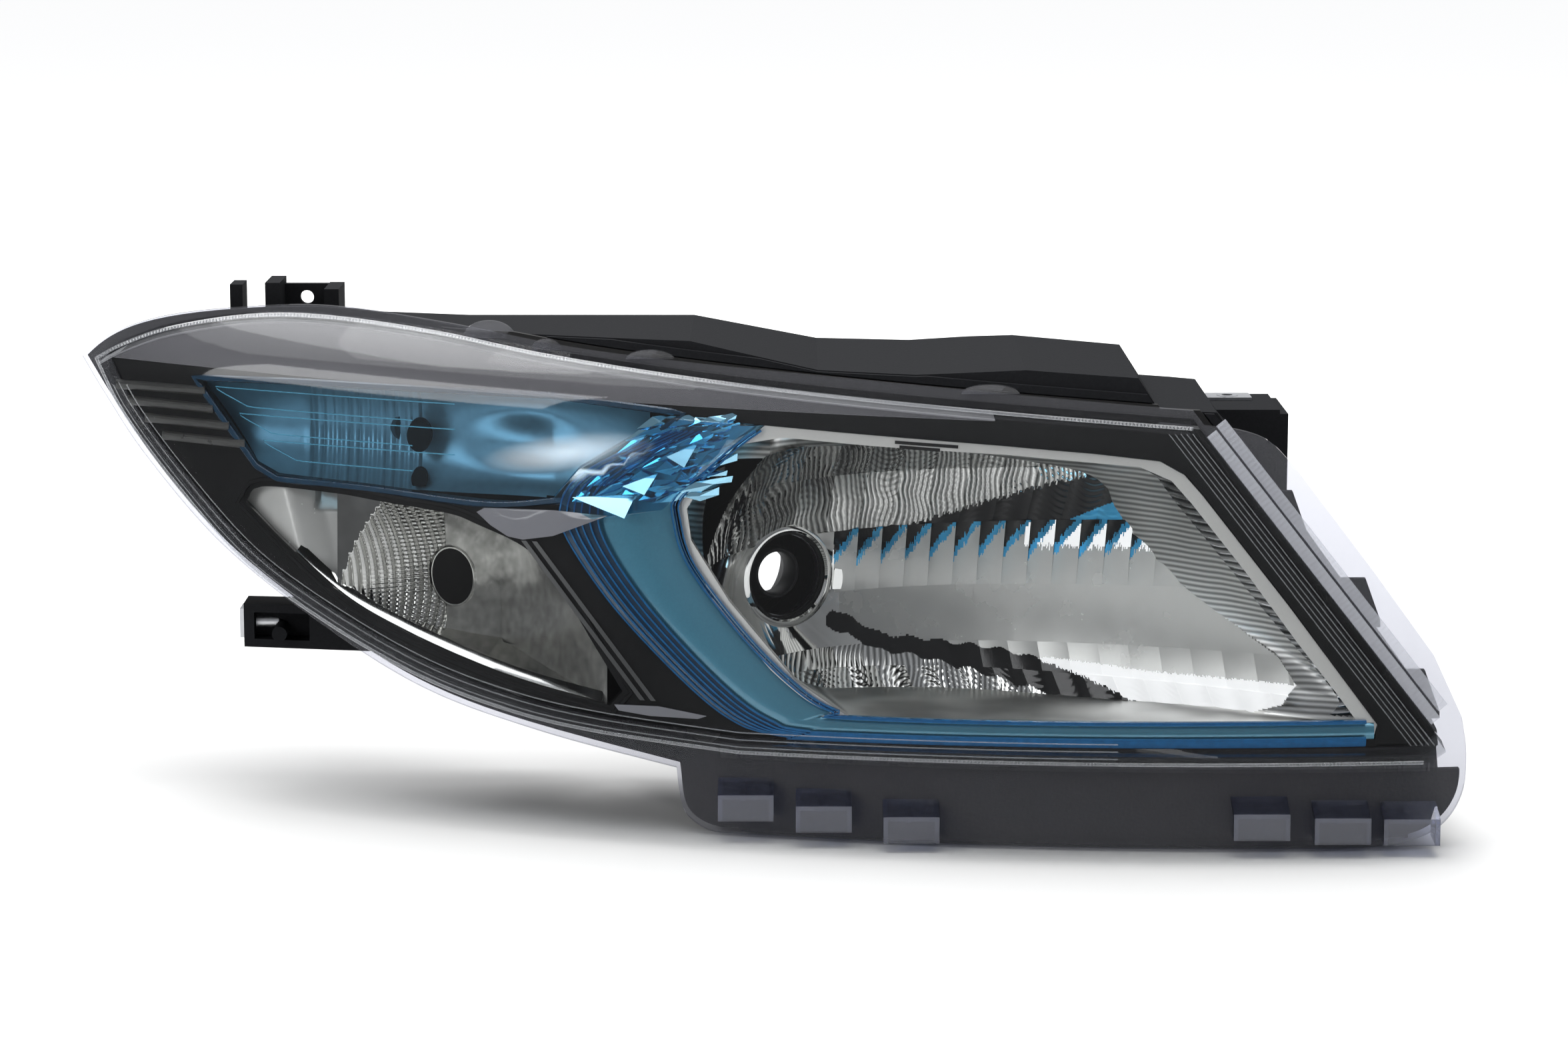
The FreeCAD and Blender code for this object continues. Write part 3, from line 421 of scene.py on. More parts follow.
# ---------------------------------------------------------------- materials
def add_node(tree, kind, **values):
    """A node of a kind, with the values of its inputs by name."""
    node = tree.nodes.new("ShaderNode" + kind)
    for name, value in values.items():
        node.inputs[name.replace("_", " ")].default_value = value
    return node


def join(tree, *pairs):
    for source, target in pairs:
        tree.links.new(source, target)


def new_material(name):
    mat = bpy.data.materials.new(name)
    mat.use_nodes = True
    mat.node_tree.nodes.clear()
    return mat, mat.node_tree, mat.node_tree.nodes.new("ShaderNodeOutputMaterial")


def scaled(color, by):
    return (*[min(1, c * by) for c in color], 1)


def color_mix(tree, first, second, factor, target):
    """Two colours mixed by a factor, into an input."""
    mix = add_node(tree, "Mix")
    mix.data_type = "RGBA"
    mix.inputs["A"].default_value = first
    mix.inputs["B"].default_value = second
    join(tree, (factor, mix.inputs["Factor"]), (mix.outputs["Result"], target))


def shader_mix(tree, first, second):
    mix = add_node(tree, "MixShader")
    join(tree, (first, mix.inputs[1]), (second, mix.inputs[2]))
    return mix


def bump_on(tree, height, shader, strength, distance):
    bump = add_node(tree, "Bump", Strength=strength, Distance=distance)
    join(tree, (height, bump.inputs["Height"]), (bump.outputs["Normal"], shader.inputs["Normal"]))


def grain(tree, scale, strength, shader, rough, spread, stretch=(1, 1, 1)):
    """Fine surface noise on a shader's roughness and normal."""
    place = add_node(tree, "TexCoord")
    mapping = add_node(tree, "Mapping", Scale=stretch)
    noise = add_node(tree, "TexNoise", Scale=scale, Detail=4)
    span = add_node(tree, "MapRange", To_Min=max(0.0, rough - spread), To_Max=rough + spread)
    join(
        tree,
        (place.outputs["Object"], mapping.inputs[0]),
        (mapping.outputs[0], noise.inputs["Vector"]),
        (noise.outputs["Fac"], span.inputs["Value"]),
        (span.outputs["Result"], shader.inputs["Roughness"]),
    )
    if strength:
        bump_on(tree, noise.outputs["Fac"], shader, strength, 0.0003)
    return noise.outputs["Fac"]


def solid_mat(name, color, rough=0.4, metal=0.0, coat=0.0, scale=400.0, bump=0.15, spread=0.06,
              vary=0.12, stretch=(1, 1, 1), gloss=0.5):
    """An opaque material with a little change of colour and gloss over it."""
    mat, tree, out = new_material(name)
    shader = add_node(tree, "BsdfPrincipled", Specular_IOR_Level=gloss, Metallic=metal, Coat_Weight=coat,
                      Coat_Roughness=0.03)
    noise = grain(tree, scale, bump, shader, rough, spread, stretch)
    color_mix(tree, scaled(color, 1 - vary), scaled(color, 1 + vary), noise, shader.inputs["Base Color"])
    join(tree, (shader.outputs[0], out.inputs[0]))
    return mat


def clear_mat(name, tint=(0.97, 0.975, 0.98), ior=1.5, rough=0.02, haze=0.0,
              haze_color=(0.8, 0.82, 0.85), boost=1.0):
    """Clear plastic: what lies behind shows through, with gloss on top."""
    mat, tree, out = new_material(name)
    base = add_node(tree, "BsdfTransparent", Color=(*tint, 1)).outputs[0]
    gloss = add_node(tree, "BsdfGlossy")
    grain(tree, 60.0, 0.0, gloss, rough, 0.01)
    fresnel = add_node(tree, "Fresnel")
    side = add_node(tree, "NewGeometry")
    index = add_node(tree, "MapRange", To_Min=ior, To_Max=1 / ior)
    join(
        tree,
        (side.outputs["Backfacing"], index.inputs["Value"]),
        (index.outputs["Result"], fresnel.inputs["IOR"]),
    )
    share = fresnel.outputs[0]
    if boost != 1.0:
        strength = add_node(tree, "Math")
        strength.operation = "MULTIPLY"
        strength.use_clamp = True
        strength.inputs[1].default_value = boost
        join(tree, (share, strength.inputs[0]))
        share = strength.outputs[0]
    if haze:
        milk = add_node(tree, "BsdfDiffuse", Color=(*haze_color, 1))
        fog = shader_mix(tree, base, milk.outputs[0])
        fog.inputs[0].default_value = haze
        base = fog.outputs[0]
    mix = shader_mix(tree, base, gloss.outputs[0])
    join(tree, (share, mix.inputs[0]), (mix.outputs[0], out.inputs[0]))
    return mat


def fluted_mat(name, color, rough, period, bend, depth, direction, dark):
    """Mirror coating over fine wavy flutes, a period apart in millimetres, with painted shade that darkens the
    colour in the flutes' troughs.
    """
    mat, tree, out = new_material(name)
    shader = add_node(tree, "BsdfPrincipled", Metallic=1.0, Roughness=rough)
    place = add_node(tree, "TexCoord")
    wave = add_node(tree, "TexWave", Scale=math.pi / 10 / (period * 0.001), Distortion=bend, Detail=1.0,
                    Detail_Scale=0.35)
    wave.bands_direction = direction
    # Painted shade: the colour is darker where the flutes' bump is low.
    color_mix(tree, scaled(color, dark), scaled(color, 1), wave.outputs["Fac"], shader.inputs["Base Color"])
    bump_on(tree, wave.outputs["Fac"], shader, 1.0, depth * 0.001)
    join(tree, (place.outputs["Object"], wave.inputs["Vector"]), (shader.outputs[0], out.inputs[0]))
    return mat


def glowing(mat, strength):
    """The material's main shader, made to give off some white light."""
    shader = next(node for node in mat.node_tree.nodes if node.type == "BSDF_PRINCIPLED")
    shader.inputs["Emission Color"].default_value = (1, 1, 1, 1)
    shader.inputs["Emission Strength"].default_value = strength
    return shader


FINISH = {
    "fluted": fluted_mat("fluted_mirror", (0.80, 0.80, 0.78), 0.08, 2.4, 11.0, 0.10, "X", 0.26),
    "ribbed": fluted_mat("ribbed_wall", (0.90, 0.90, 0.88), 0.34, 2.6, 1.5, 0.04, "Z", 0.34),
    "wavy": fluted_mat("wavy_edge", (0.62, 0.63, 0.64), 0.10, 3.4, 5.0, 0.16, "Z", 0.12),
    "chrome": solid_mat(
        "mirror_coat", (0.72, 0.72, 0.70), 0.045, 1.0, scale=25, bump=0.0, spread=0.02, vary=0.03
    ),
    # Painted reflections for the bowl's facet cells: grey, shade, blue and a glowing highlight; the grey one
    # also finishes the turn lamp's side panel.
    "grey_mirror_and_painted_reflection": solid_mat("grey_mirror_and_painted_grey", (0.52, 0.52, 0.50), 0.26, 0.4, scale=60, bump=0.0),
    "painted_shade_reflection": solid_mat("painted_shade_mirror", (0.022, 0.022, 0.022), 0.10, 0.6, scale=200, bump=0.0),
    "painted_blue_reflection": solid_mat("painted_blue_mirror", (0.06, 0.36, 0.62), 0.15, 0.5, scale=200, bump=0.0),
    "painted_highlight": solid_mat("painted_highlight_glow", (0.93, 0.93, 0.92), 0.25, scale=200, bump=0.0, vary=0.02),
    "turn_chrome": solid_mat("turn_mirror", (0.46, 0.46, 0.44), 0.06, 1.0, scale=90, bump=0.05, vary=0.25),
    "mottled": solid_mat("mottled_mirror", (0.56, 0.56, 0.54), 0.2, 0.8, scale=170, bump=0.35, vary=0.55),
    "cup": solid_mat("lined_cup", (0.62, 0.64, 0.66), 0.32, 0.55, scale=300, bump=0.05),
    "satin": solid_mat("satin_silver", (0.62, 0.615, 0.59), 0.36, 0.55, scale=900, bump=0.08, vary=0.05),
    "lens": clear_mat("clear_polycarbonate", ior=1.38),
    # A hazy grey sheet under the rolled top: painted sheen, lit by the lamps.
    "roll": clear_mat("rolled_top_painted_sheen", ior=1.2, rough=0.3, haze=0.13, haze_color=(0.40, 0.39, 0.42)),
    "rib": clear_mat("clear_ribs", rough=0.08, haze=0.10, haze_color=(0.8, 0.82, 0.86)),
    "knurl": clear_mat("clear_knurl", rough=0.1, haze=0.30, haze_color=(0.70, 0.71, 0.77)),
    "hatch": clear_mat("hatched_edge", (0.7, 0.7, 0.73), 1.4, 0.2, haze=0.02, boost=0.6),
    "flange": clear_mat("clear_flange", (0.84, 0.845, 0.88), 1.45, haze=0.07, haze_color=(0.5, 0.5, 0.52)),
    "hook": clear_mat("clear_hooks", (0.78, 0.80, 0.88), haze=0.03, haze_color=(0.42, 0.43, 0.52), boost=1.6),
    # Smoked ledges: painted reflections in front of the bezel.
    "painted_reflection_ledges": clear_mat("ledge_painted_reflection", (0.55, 0.56, 0.6), haze=0.35, haze_color=(0.5, 0.5, 0.53)),
    "blue_clear": clear_mat("clear_blue", (0.66, 0.82, 0.90)),
    "cyan": clear_mat("clear_cyan", (0.66, 0.90, 1.0), 1.6, 0.03, boost=2.0),
    "cyan_metal": solid_mat("cyan_metal", (0.36, 0.68, 0.86), 0.08, 1.0, scale=60, bump=0.0, spread=0.03),
    "glint": solid_mat("glint", (0.22, 0.46, 0.62), 0.22, 1.0, scale=90, bump=0.25, spread=0.05),
    "band": solid_mat("dark_blue_band", (0.012, 0.040, 0.075), 0.14, 0.2, 0.6, scale=200, bump=0.0, vary=0.3),
    "royal": solid_mat("royal_edge", (0.010, 0.13, 0.33), 0.12, 0.35, 1.0, vary=0.3),
    "teal": solid_mat("teal_metallic", (0.07, 0.24, 0.34), 0.22, 0.55, 1.0, scale=900, bump=0.05, vary=0.1),
    "line": solid_mat("blue_line", (0.08, 0.30, 0.44), 0.2, 0.4),
    "rib_black": solid_mat("ribbed_black", (0.026, 0.026, 0.024), 0.3, scale=200, bump=0.05, gloss=0.4),
    "gloss_black": solid_mat(
        "gloss_black", (0.011, 0.0112, 0.0115), 0.2, scale=30, bump=0.0, spread=0.01, gloss=0.10
    ),
    "housing": solid_mat(
        "black_housing", (0.0135, 0.014, 0.0155), 0.72, scale=700, bump=0.3, vary=0.2, gloss=0.02
    ),
    "seal": solid_mat("seal_black", (0.012, 0.012, 0.012), 0.7, scale=300, bump=0.3, gloss=0.2),
    "steel": solid_mat("plated_steel", (0.55, 0.56, 0.58), 0.3, 1.0, scale=300, bump=0.1, stretch=(1, 8, 1)),
    "nylon": solid_mat("natural_nylon", (0.72, 0.70, 0.62), 0.45, scale=500, bump=0.1),
    "grey": solid_mat("grey_plastic", (0.10, 0.105, 0.11), 0.48, scale=600, bump=0.3, gloss=0.3),
    "rubber": solid_mat("boot_rubber", (0.014, 0.014, 0.015), 0.62, scale=500, bump=0.3, gloss=0.3),
}
# The painted highlight on the bowl glows, though it is no lamp.
glowing(FINISH["painted_highlight"], 0.45)
SLOT_FINISH = {
    "clear_lens": "lens", "black_housing": "housing", "seal_black": "seal", "gloss_black": "gloss_black",
    "blue_trim": "teal", "blue_lens": "blue_clear", "satin_silver": "satin", "mirror_coat": "chrome",
    "nylon_white": "nylon", "steel": "steel", "grey_plastic": "grey", "boot_rubber": "rubber",
}


def finish_cad():
    """Every CAD node takes the finish of its slot."""
    for part in frame["record"]["subparts"]:
        mesh = frame["nodes"][part["node"]].data
        mesh.materials.clear()
        mesh.materials.append(FINISH[SLOT_FINISH[part["material_slot"]]])


# ---------------------------------------------------------------- lens
def add_hook(solid, x, top):
    """A hollow tapered lug on the skirt."""
    wide, tall, wall = 25.0, 12.0, 2.0
    y = float(face(x + wide / 2, top, FLANGE_BACK - 3))
    root, tip = y + 1, y - 15

    def plate(x0, x1, corners):
        solid.add(*box_data([(x0, a, b) for a, b in corners], [(x1, a, b) for a, b in corners]))

    side = [(root, top + 4.5), (tip, top), (tip, top - tall), (root, top - tall + 1)]
    plate(x, x + wall, side)
    plate(x + wide - wall, x + wide, side)
    plate(x, x + wide, [(root, top + 4.5), (tip, top), (tip, top - wall), (root, top + 4.5 - wall)])
    plate(x, x + wide, [(tip, top), (tip - 0.3, top - tall), (tip + wall, top - tall), (tip + wall, top)])
    web = [(tip + 2, top - 1), (root, top + 2), (root, top), (tip + 2, top - 3)]
    plate(x + wide * 0.4, x + wide * 0.5, web)


def add_tab(solid, x, z, wide, tall):
    """A half-round tab that stands on the flange."""
    y = float(face(x, z, FLANGE_BACK))
    rim = [(x + wide / 2 * math.cos(a), z + tall * math.sin(a)) for a in np.linspace(0, math.pi, 17)]
    n = len(rim)
    faces = [tuple(range(n)), tuple(range(2 * n - 1, n - 1, -1))]
    faces += [(i + 1, i, i + n, i + 1 + n) for i in range(n - 1)] + [(0, n - 1, 2 * n - 1, n)]
    solid.add([(a, y - 3, b) for a, b in rim] + [(a, y, b) for a, b in rim], faces)


def build_roll():
    """The hazed sheet under the lens's rolled top, and the brow behind it: grey haze, lit by the lamps, put in
    as painted sheen on the roll.
    """
    top = part_of(RIDGE, lambda x, z: z > 91 and x < 182)[::-1]
    rows = []
    for t in np.linspace(0, 1, 14):
        low = roll_start(top[:, 0]) + 3.5
        z = low * (1 - t) + np.maximum(top[:, 1] - 3.4, low) * t
        rows.append(placed(np.stack([top[:, 0], z], 1), rolled(3.6)))
    n = len(top)
    front, back = rolled(4.6), flat(FLANGE_BACK - 3.4)
    corners = ((3.3, front), (3.3, back), (4.1, back), (4.1, front))
    brow = [placed(top - (0, drop), depth) for drop, depth in corners]
    ends = [(0, n, 2 * n, 3 * n), (4 * n - 1, 3 * n - 1, 2 * n - 1, n - 1)]
    roll = Solid(sheet_data(np.array(rows), 0.8), (np.vstack(brow), ring_faces(4, n, closed=False) + ends))
    roll.make("lens_roll_painted_sheen", "roll", "clear_lens")


def build_lens():
    shell = Solid(
        slab_data([RIDGE], rolled(0), rolled(3), 5.0),
        wall_data(RIDGE, rolled(3), flat(FLANGE_BACK), 3.0),
    )
    shell.make("lens_shell", "lens", "clear_lens", replaces=("lens",))
    plate = Solid(slab_data([FLANGE, RIDGE], flat(FLANGE_BACK - 3), flat(FLANGE_BACK - 0.1), 8.0))
    plate.make("lens_flange", "flange", "clear_lens")
    build_roll()
    hooks = Solid()
    for x, top in ((-29, -84), (6, -87), (45, -90), (200, -86), (236, -88), (267, -89)):
        add_hook(hooks, x, top)
    hooks.make("lens_hooks", "hook", "clear_lens")
    tabs = Solid()
    for size in ((-135, 112, 24, 8), (-108, 108, 14, 5), (93, 95, 26, 4), (-60, 106, 22, 4)):
        add_tab(tabs, *size)
    tabs.make("lens_tabs", "flange", "clear_lens")


def build_lens_lines():
    """Stepped lines inside the ridge, and beaded lines along it."""
    steps = Solid()
    thin = [(-0.28, 0.05), (-0.2, 0.45), (0.2, 0.45), (0.28, 0.05), (0.2, -0.2), (-0.2, -0.2)]
    for k in range(3):
        lower = part_of(
            grow(RIDGE, -2.4 - 3.2 * k), lambda x, z: z < 84 and x < 150 and (z < -30 or x < -60)
        )
        steps.add(*swept_data(resample(lower, 3.0), rolled(0), thin))
    for k in range(5):
        in_by = 3.2 + 2.6 * k
        line = np.stack([np.linspace(183 - in_by, 290 - in_by, 60), np.linspace(83, -53, 60)], 1)
        steps.add(*swept_data(line, rolled(0), thin))
    steps.make("lens_steps", "rib", "clear_lens", angle=60)
    bead = [(-0.8, 0.0), (-0.5, 0.7), (0.5, 0.7), (0.8, 0.0), (0.5, -0.3), (-0.5, -0.3)]
    wide = [(-2.6, 0.0), (-2.4, 0.9), (2.4, 0.9), (2.6, 0.0), (2.4, -0.3), (-2.4, -0.3)]

    def beaded(path, depth, shape, pitch):
        fine = resample(path, pitch / 2)
        return swept_data(fine, depth, shape, lift=0.35 + 0.65 * (np.arange(len(fine)) % 2))

    top = part_of(RIDGE, lambda x, z: z > 60 and x < 183)
    low = part_of(RIDGE, lambda x, z: z < 84 and x < 284 and (z < -30 or x < 0))
    right = np.array([(188.5, 82.5), (288, -43.5)])
    skirt = [beaded([(-28, z), (289, z)], flat(back), wide, 2.2) for z, back in ((-62.8, 12), (-68, 28))]
    lines = {
        "beads": ("rib", beaded(top, rolled(0.2), bead, 1.6), beaded(low, rolled(0.4), bead, 1.6)),
        "hatch": ("hatch", *skirt),
        "knurl": ("knurl", beaded(right, flat(5), wide, 2.2), beaded(right + (5.5, 2.5), flat(20), wide, 2.2)),
    }
    for name, (finish, *shapes) in lines.items():
        Solid(*shapes).make("lens_" + name, finish, "clear_lens", angle=20)


# ---------------------------------------------------------------- bezel and blue trim
def build_bezel():
    outer = grow(outline(RIDGE_POINTS, 4.0), -5.2)
    turn = grow(outline(TURN, 3.0), 1.0)
    hole = outline(BEZEL_OPENING, 3.0)
    body = Solid(
        slab_data([outer, hole, turn], rolled(BEZEL_BACK), rolled(BEZEL_BACK + 2.4), 5.0),
        wall_data(outer, rolled(BEZEL_BACK + 1), flat(FLANGE_BACK + 1), 2.0),
        wall_data(grow(turn, 0.05), rolled(BEZEL_BACK + 0.4), flat(BEZEL_BACK + 9.0), 1.3),
        wall_data(grow(hole, 0.05), rolled(BEZEL_BACK + 0.4), flat(BEZEL_BACK + 7.0), 1.3),
    )
    body.make("bezel_skin", "gloss_black", "gloss_black", replaces=("bezel",))
    ribs = Solid()
    shape = [(-2.3, -0.2), (-1.5, 1.6), (-0.6, 2.0), (1.2, 1.2), (2.3, -0.2)]
    for line in (
        [(-318, 80.5), (-272, 81)], [(-312, 73.5), (-268, 73)], [(-303, 66), (-260, 65.5)],
        [(-294, 58.5), (-252, 58)],
    ):
        ribs.add(*swept_data(resample(line, 2.5), rolled(BEZEL_BACK), shape))
    ribs.make("bezel_ribs", "rib_black", "gloss_black")
    rim = [(-1.2, -0.2), (-0.7, 0.8), (0.7, 0.8), (1.2, -0.2)]
    border = Solid(swept_data(grow(turn, 2.0), rolled(BEZEL_BACK), rim, closed=True))
    border.make("bezel_rim", "gloss_black", "gloss_black")
    # Two thin smoked sheets in front of the bezel, put in as painted reflections.
    high = np.array([
        (-133, 30.5), (-125, 26), (-118, 25), (-104, 27.5), (-86, 35), (-79, 38), (-104, 39), (-136, 38),
        (-139.5, 36),
    ])
    low = np.array([(-74, -49), (-60, -50.5), (-38, -50.5), (-34, -49), (-56, -46), (-76, -46.5)])
    painted_reflection_ledges = Solid(
        slab_data([high], flat(BEZEL_BACK - 4.5), flat(BEZEL_BACK - 3.5), 5.0),
        slab_data([low], flat(BEZEL_BACK - 2.5), flat(BEZEL_BACK - 1.8), 5.0),
    )
    painted_reflection_ledges.make("bezel_painted_reflections", "painted_reflection_ledges", "gloss_black")


def build_arm():
    """The blue arm round the main lamp with its bottom strip."""
    count = 240
    outer, inner = evenly(catmull(ARM_OUTER, 2.0), count), evenly(catmull(ARM_INNER, 2.0), count)

    def line(t):
        return outer * (1 - t) + inner * t

    rows = []
    for t in np.linspace(0, 1, 13):
        crown = 3.0 * (1 - (2 * t - 1) ** 2) ** 0.5
        rows.append(placed(line(t), flat(BEZEL_BACK + 3.0)) - (0, crown, 0))
    body = Solid(sheet_data(np.array(rows), 2.5))
    body.make("accent_arm", "teal", "blue_trim", replaces=("accent_trim",), angle=50)
    rows = []
    for t in np.linspace(-0.13, 0.24, 7):
        rows.append(placed(line(t), flat(BEZEL_BACK - 0.9 - 0.6 * math.sin((t + 0.13) * 8))))
    Solid(sheet_data(np.array(rows)[:, :-30], 1.0)).make("accent_band", "band", "blue_trim", angle=50)
    strip = [(-0.5, -1.5), (0.5, -1.5), (2.5, -14), (1.5, -14)]
    inner_wall = Solid(swept_data(inner[3:-60], flat(BEZEL_BACK), strip))
    inner_wall.make("accent_return", "cyan_metal", "blue_trim", angle=40)
    edges = Solid()
    shape = [(-0.55, -0.3), (-0.35, 0.9), (0.35, 0.9), (0.55, -0.3)]
    places = {-0.12: 14.5, -0.05: 13.6, 0.02: 13.3, 0.09: 13.2, 0.17: 13.2, 0.25: 13.4, 0.97: 14.4, 1.04: 15.0}
    for t, back in places.items():
        edges.add(*swept_data(line(t)[2:-2], flat(back), shape))
    edges.make("accent_edges", "royal", "blue_trim", angle=50)


def build_knuckle():
    """Faceted blue cluster where the arm meets the position lamp."""
    rng = np.random.default_rng(11)
    cluster = Solid()
    for i in range(9):
        for j in range(6):
            u, v = j / 5, i / 8
            x = -88 + 52 * u + 34 * v - 22 * u * v
            z = 46 + 34 * v + 3 * u
            w, h = rng.uniform(7, 14), rng.uniform(2.0, 3.8)
            tilt = math.radians(rng.uniform(5, 32))
            y = float(face(x, z, BEZEL_BACK + rng.uniform(-1.0, 2.5)))
            ring = [(-w, 0), (-w * 0.3, h), (w, h * 0.5), (w * 0.9, -h * 0.6), (-w * 0.2, -h)]
            peak = (rng.uniform(-0.3, 0.3) * w, rng.uniform(-0.3, 0.3) * h)
            c, s = math.cos(tilt), math.sin(tilt)
            verts = [(x + (c * a - s * b), y, z + (s * a + c * b)) for a, b in ring]
            verts += [(x + peak[0], y - rng.uniform(0.8, 2.6), z + peak[1]), (x, y + 2.5, z)]
            n = len(ring)
            faces = [(k, n, (k + 1) % n) for k in range(n)] + [((k + 1) % n, n + 1, k) for k in range(n)]
            cluster.add(verts, faces)
    cluster.make("knuckle_facets", "cyan_metal", "blue_lens", smooth=False)
    shape = np.array([(-86, 36), (-54, 42), (-44, 52), (-12, 81), (-52, 83), (-92, 58), (-104, 44)], float)
    cover = Solid(slab_data([shape], flat(BEZEL_BACK - 4.5), flat(BEZEL_BACK - 3.5), 6.0))
    cover.make("knuckle_cover", "cyan", "blue_lens")
    back = Solid(slab_data([shape], flat(BEZEL_BACK + 5), flat(BEZEL_BACK + 6), 6.0))
    back.make("knuckle_back", "teal", "blue_trim")
    glint = Solid()
    prism = [(2, 1, 0), (3, 4, 5), (0, 1, 4, 3), (1, 2, 5, 4), (2, 0, 3, 5)]
    for corners, lean in (
        ([(-95, 45.5), (-66, 48), (-71, 38.5)], 0.9),
        ([(-72, 52), (-56, 58), (-62, 49)], 0.7),
        ([(-52, 66), (-38, 72), (-44, 62)], 0.6),
    ):
        front = placed(np.array(corners, float), flat(BEZEL_BACK - 3.0))
        front[:, 1] += lean * (front[:, 2] - front[:, 2].max())
        glint.add(np.vstack([front, front + (0, 1.0, 0)]), prism)
    glint.make("knuckle_glints", "glint", "blue_lens", smooth=False)


def build_position():
    """Blue panel, its thin lines, and the fluted reflector behind it."""
    panel = outline(POSITION, 4.0)
    body = Solid(slab_data([panel], flat(BEZEL_BACK - 0.5), flat(BEZEL_BACK + 1.5), 6.0))
    body.make("position_panel", "blue_clear", "blue_lens", replaces=("position_lens",))
    rim = [(-1.5, -0.3), (-0.9, 0.6), (0.9, 0.6), (1.5, -0.3)]
    border = Solid(swept_data(grow(panel, 0.9), flat(BEZEL_BACK - 0.4), rim, closed=True))
    border.make("position_border", "band", "blue_trim")
    lines = Solid()
    thin = [(-0.25, -0.1), (-0.2, 0.3), (0.2, 0.3), (0.25, -0.1)]
    for k in range(3):
        x, z = -262 + 12 * k, 80.5 - 11.5 * k
        for path in ([(x, z), (x + 12, z - 5.2), (-170, z - 5.6)], [(x, z), (x - 6, z + 3), (-150, z + 3)]):
            lines.add(*swept_data(resample(path, 4.0), flat(BEZEL_BACK - 0.6), thin))
    lines.make("position_lines", "line", "blue_lens")
    x, z = np.meshgrid(np.linspace(-272, -60, 230), np.linspace(41, 88, 60))
    x = np.maximum(x, -276 + (88 - z) * 0.72)
    t = (z - 64.5) / 24
    depth = 30 - 16 * t * t - 14 * np.clip((-225 - x) / 45, 0, 1) - 12 * np.clip((x + 105) / 45, 0, 1)
    flute = np.where((x > -222) & (x < -168), 1.2 * np.abs(np.sin(x * math.pi / 4.4)), 0.0)
    bulge = 5.0 * np.exp(-(((x + 118) / 26) ** 2)) * np.cos(t * 4)
    grid = np.stack([x, face(x, z, BEZEL_BACK + 3) + depth * 0.75 - flute - bulge, z], -1)
    fits = within(grow(outline(POSITION, 3.0), 1.5))
    cup = Solid(sheet_data(grid, 1.6, keep=cell_mask(grid, fits)))
    cup.make("position_cup", "cup", "mirror_coat", replaces=("position_reflector",), angle=40)
    holes = Solid()
    angles = np.linspace(0, 2 * math.pi, 41)[:-1]
    for z, r in ((66, 7.6), (46, 5.0)):
        ring = np.stack([-168 + r * 0.75 * np.cos(angles), z + r * np.sin(angles)], 1)
        y = float(face(-168, z, BEZEL_BACK + 12))
        holes.add(*slab_data([ring[ring[:, 1] > 43]], level(y), level(y + 8), 4.0))
    holes.make("position_hole", "seal", "seal_black")


# ---------------------------------------------------------------- main lamp
FACET_ROWS = [  # each row's lower edge: its height at x = 0 and its slope
    (-66, 0.0), (-43.5, 0.02), (-35.5, 0.06), (-12.0, 0.085), (17.0, 0.10), (46.5, 0.075), (70, 0.05),
]
FACETS = [  # each row's facet width, start and lean
    (13.5, 0.0, -0.45), (13.5, 3.0, -0.3), (18.0, 9.0, 0.0), (11.3, 1.5, 0.06), (15.5, 6.0, 0.16),
    (15.5, 10.0, 0.25),
]
# Facet cell kinds: plain mirror, then painted reflections of shade, blue, light and grey.
CLEAR, PAINTED_SHADE, PAINTED_BLUE, PAINTED_LIGHT, PAINTED_GREY = range(5)
# Bands of painted shade and painted highlight across the bowl, as (x, z) heights.
PAINTED_SHADE_TOP = [
    (18, -24), (23, -17), (46, -29), (73, -31), (101, -33), (119, -36), (143, -41.5), (158, -47.5), (174, -57),
]
PAINTED_SHADE_BOTTOM = [
    (18, -24), (23, -26), (45, -36), (63, -38), (79, -41.5), (93, -44), (107, -47.5), (122, -50), (138, -55),
    (149, -60),
]
PAINTED_LIGHT_TOP = [(118, -36), (121, -35), (143, -35.5), (164, -36.5), (183, -36), (230, -34)]
PAINTED_LIGHT_BOTTOM = [(118, -36), (121, -37), (141, -42.5), (150, -46), (166, -52), (181, -57)]


def facet_kinds(grid, a, b, row, rng):
    """Which cells of a facet are clear mirror, and which are painted reflections: painted shade, painted blue,
    painted highlight and painted grey.
    """
    middle = centres(grid)
    x, z = middle[..., 0], middle[..., 2]
    a, b = a[:-1, :-1], b[:-1, :-1]
    jag = rng.uniform(-1, 1, x.shape[1])[None]
    out = np.full(x.shape, CLEAR)

    def under(line):
        return np.interp(x, *zip(*line))

    if row == 3:
        low = 0.40 + 0.56 * a + 0.05 * jag
        out[(b > low) & (x > 24)] = PAINTED_BLUE
        out[(b > low + 0.16) & (x > 24)] = PAINTED_SHADE
        out[(b < low) & (x > 24)] = PAINTED_GREY
        out[(b < low) & (b > 0.56 + 0.06 * jag) & (x > 112)] = PAINTED_LIGHT
    elif row == 4:
        out[b < (x - 62) / 82 * 0.9 + 0.05 * jag] = PAINTED_SHADE
        out[(b < (x - 132) / 20 * 0.35) & (x > 132)] = PAINTED_BLUE
    elif row < 3:
        step = 0.3 * (3.0 * np.sin(x * 0.45) + 0.8 * jag)
        upper = under(PAINTED_SHADE_TOP) + step
        out[(z < upper) & (z > under(PAINTED_SHADE_BOTTOM) + step) & (x > 20)] = PAINTED_SHADE
        out[(z < under(PAINTED_LIGHT_TOP) + 0.5 * jag) & (z > under(PAINTED_LIGHT_BOTTOM) + 0.8 * jag) & (x > 119)] = PAINTED_LIGHT
        if row > 0:
            out[(out == CLEAR) & (z > upper) & (x > 26)] = PAINTED_GREY
    return out


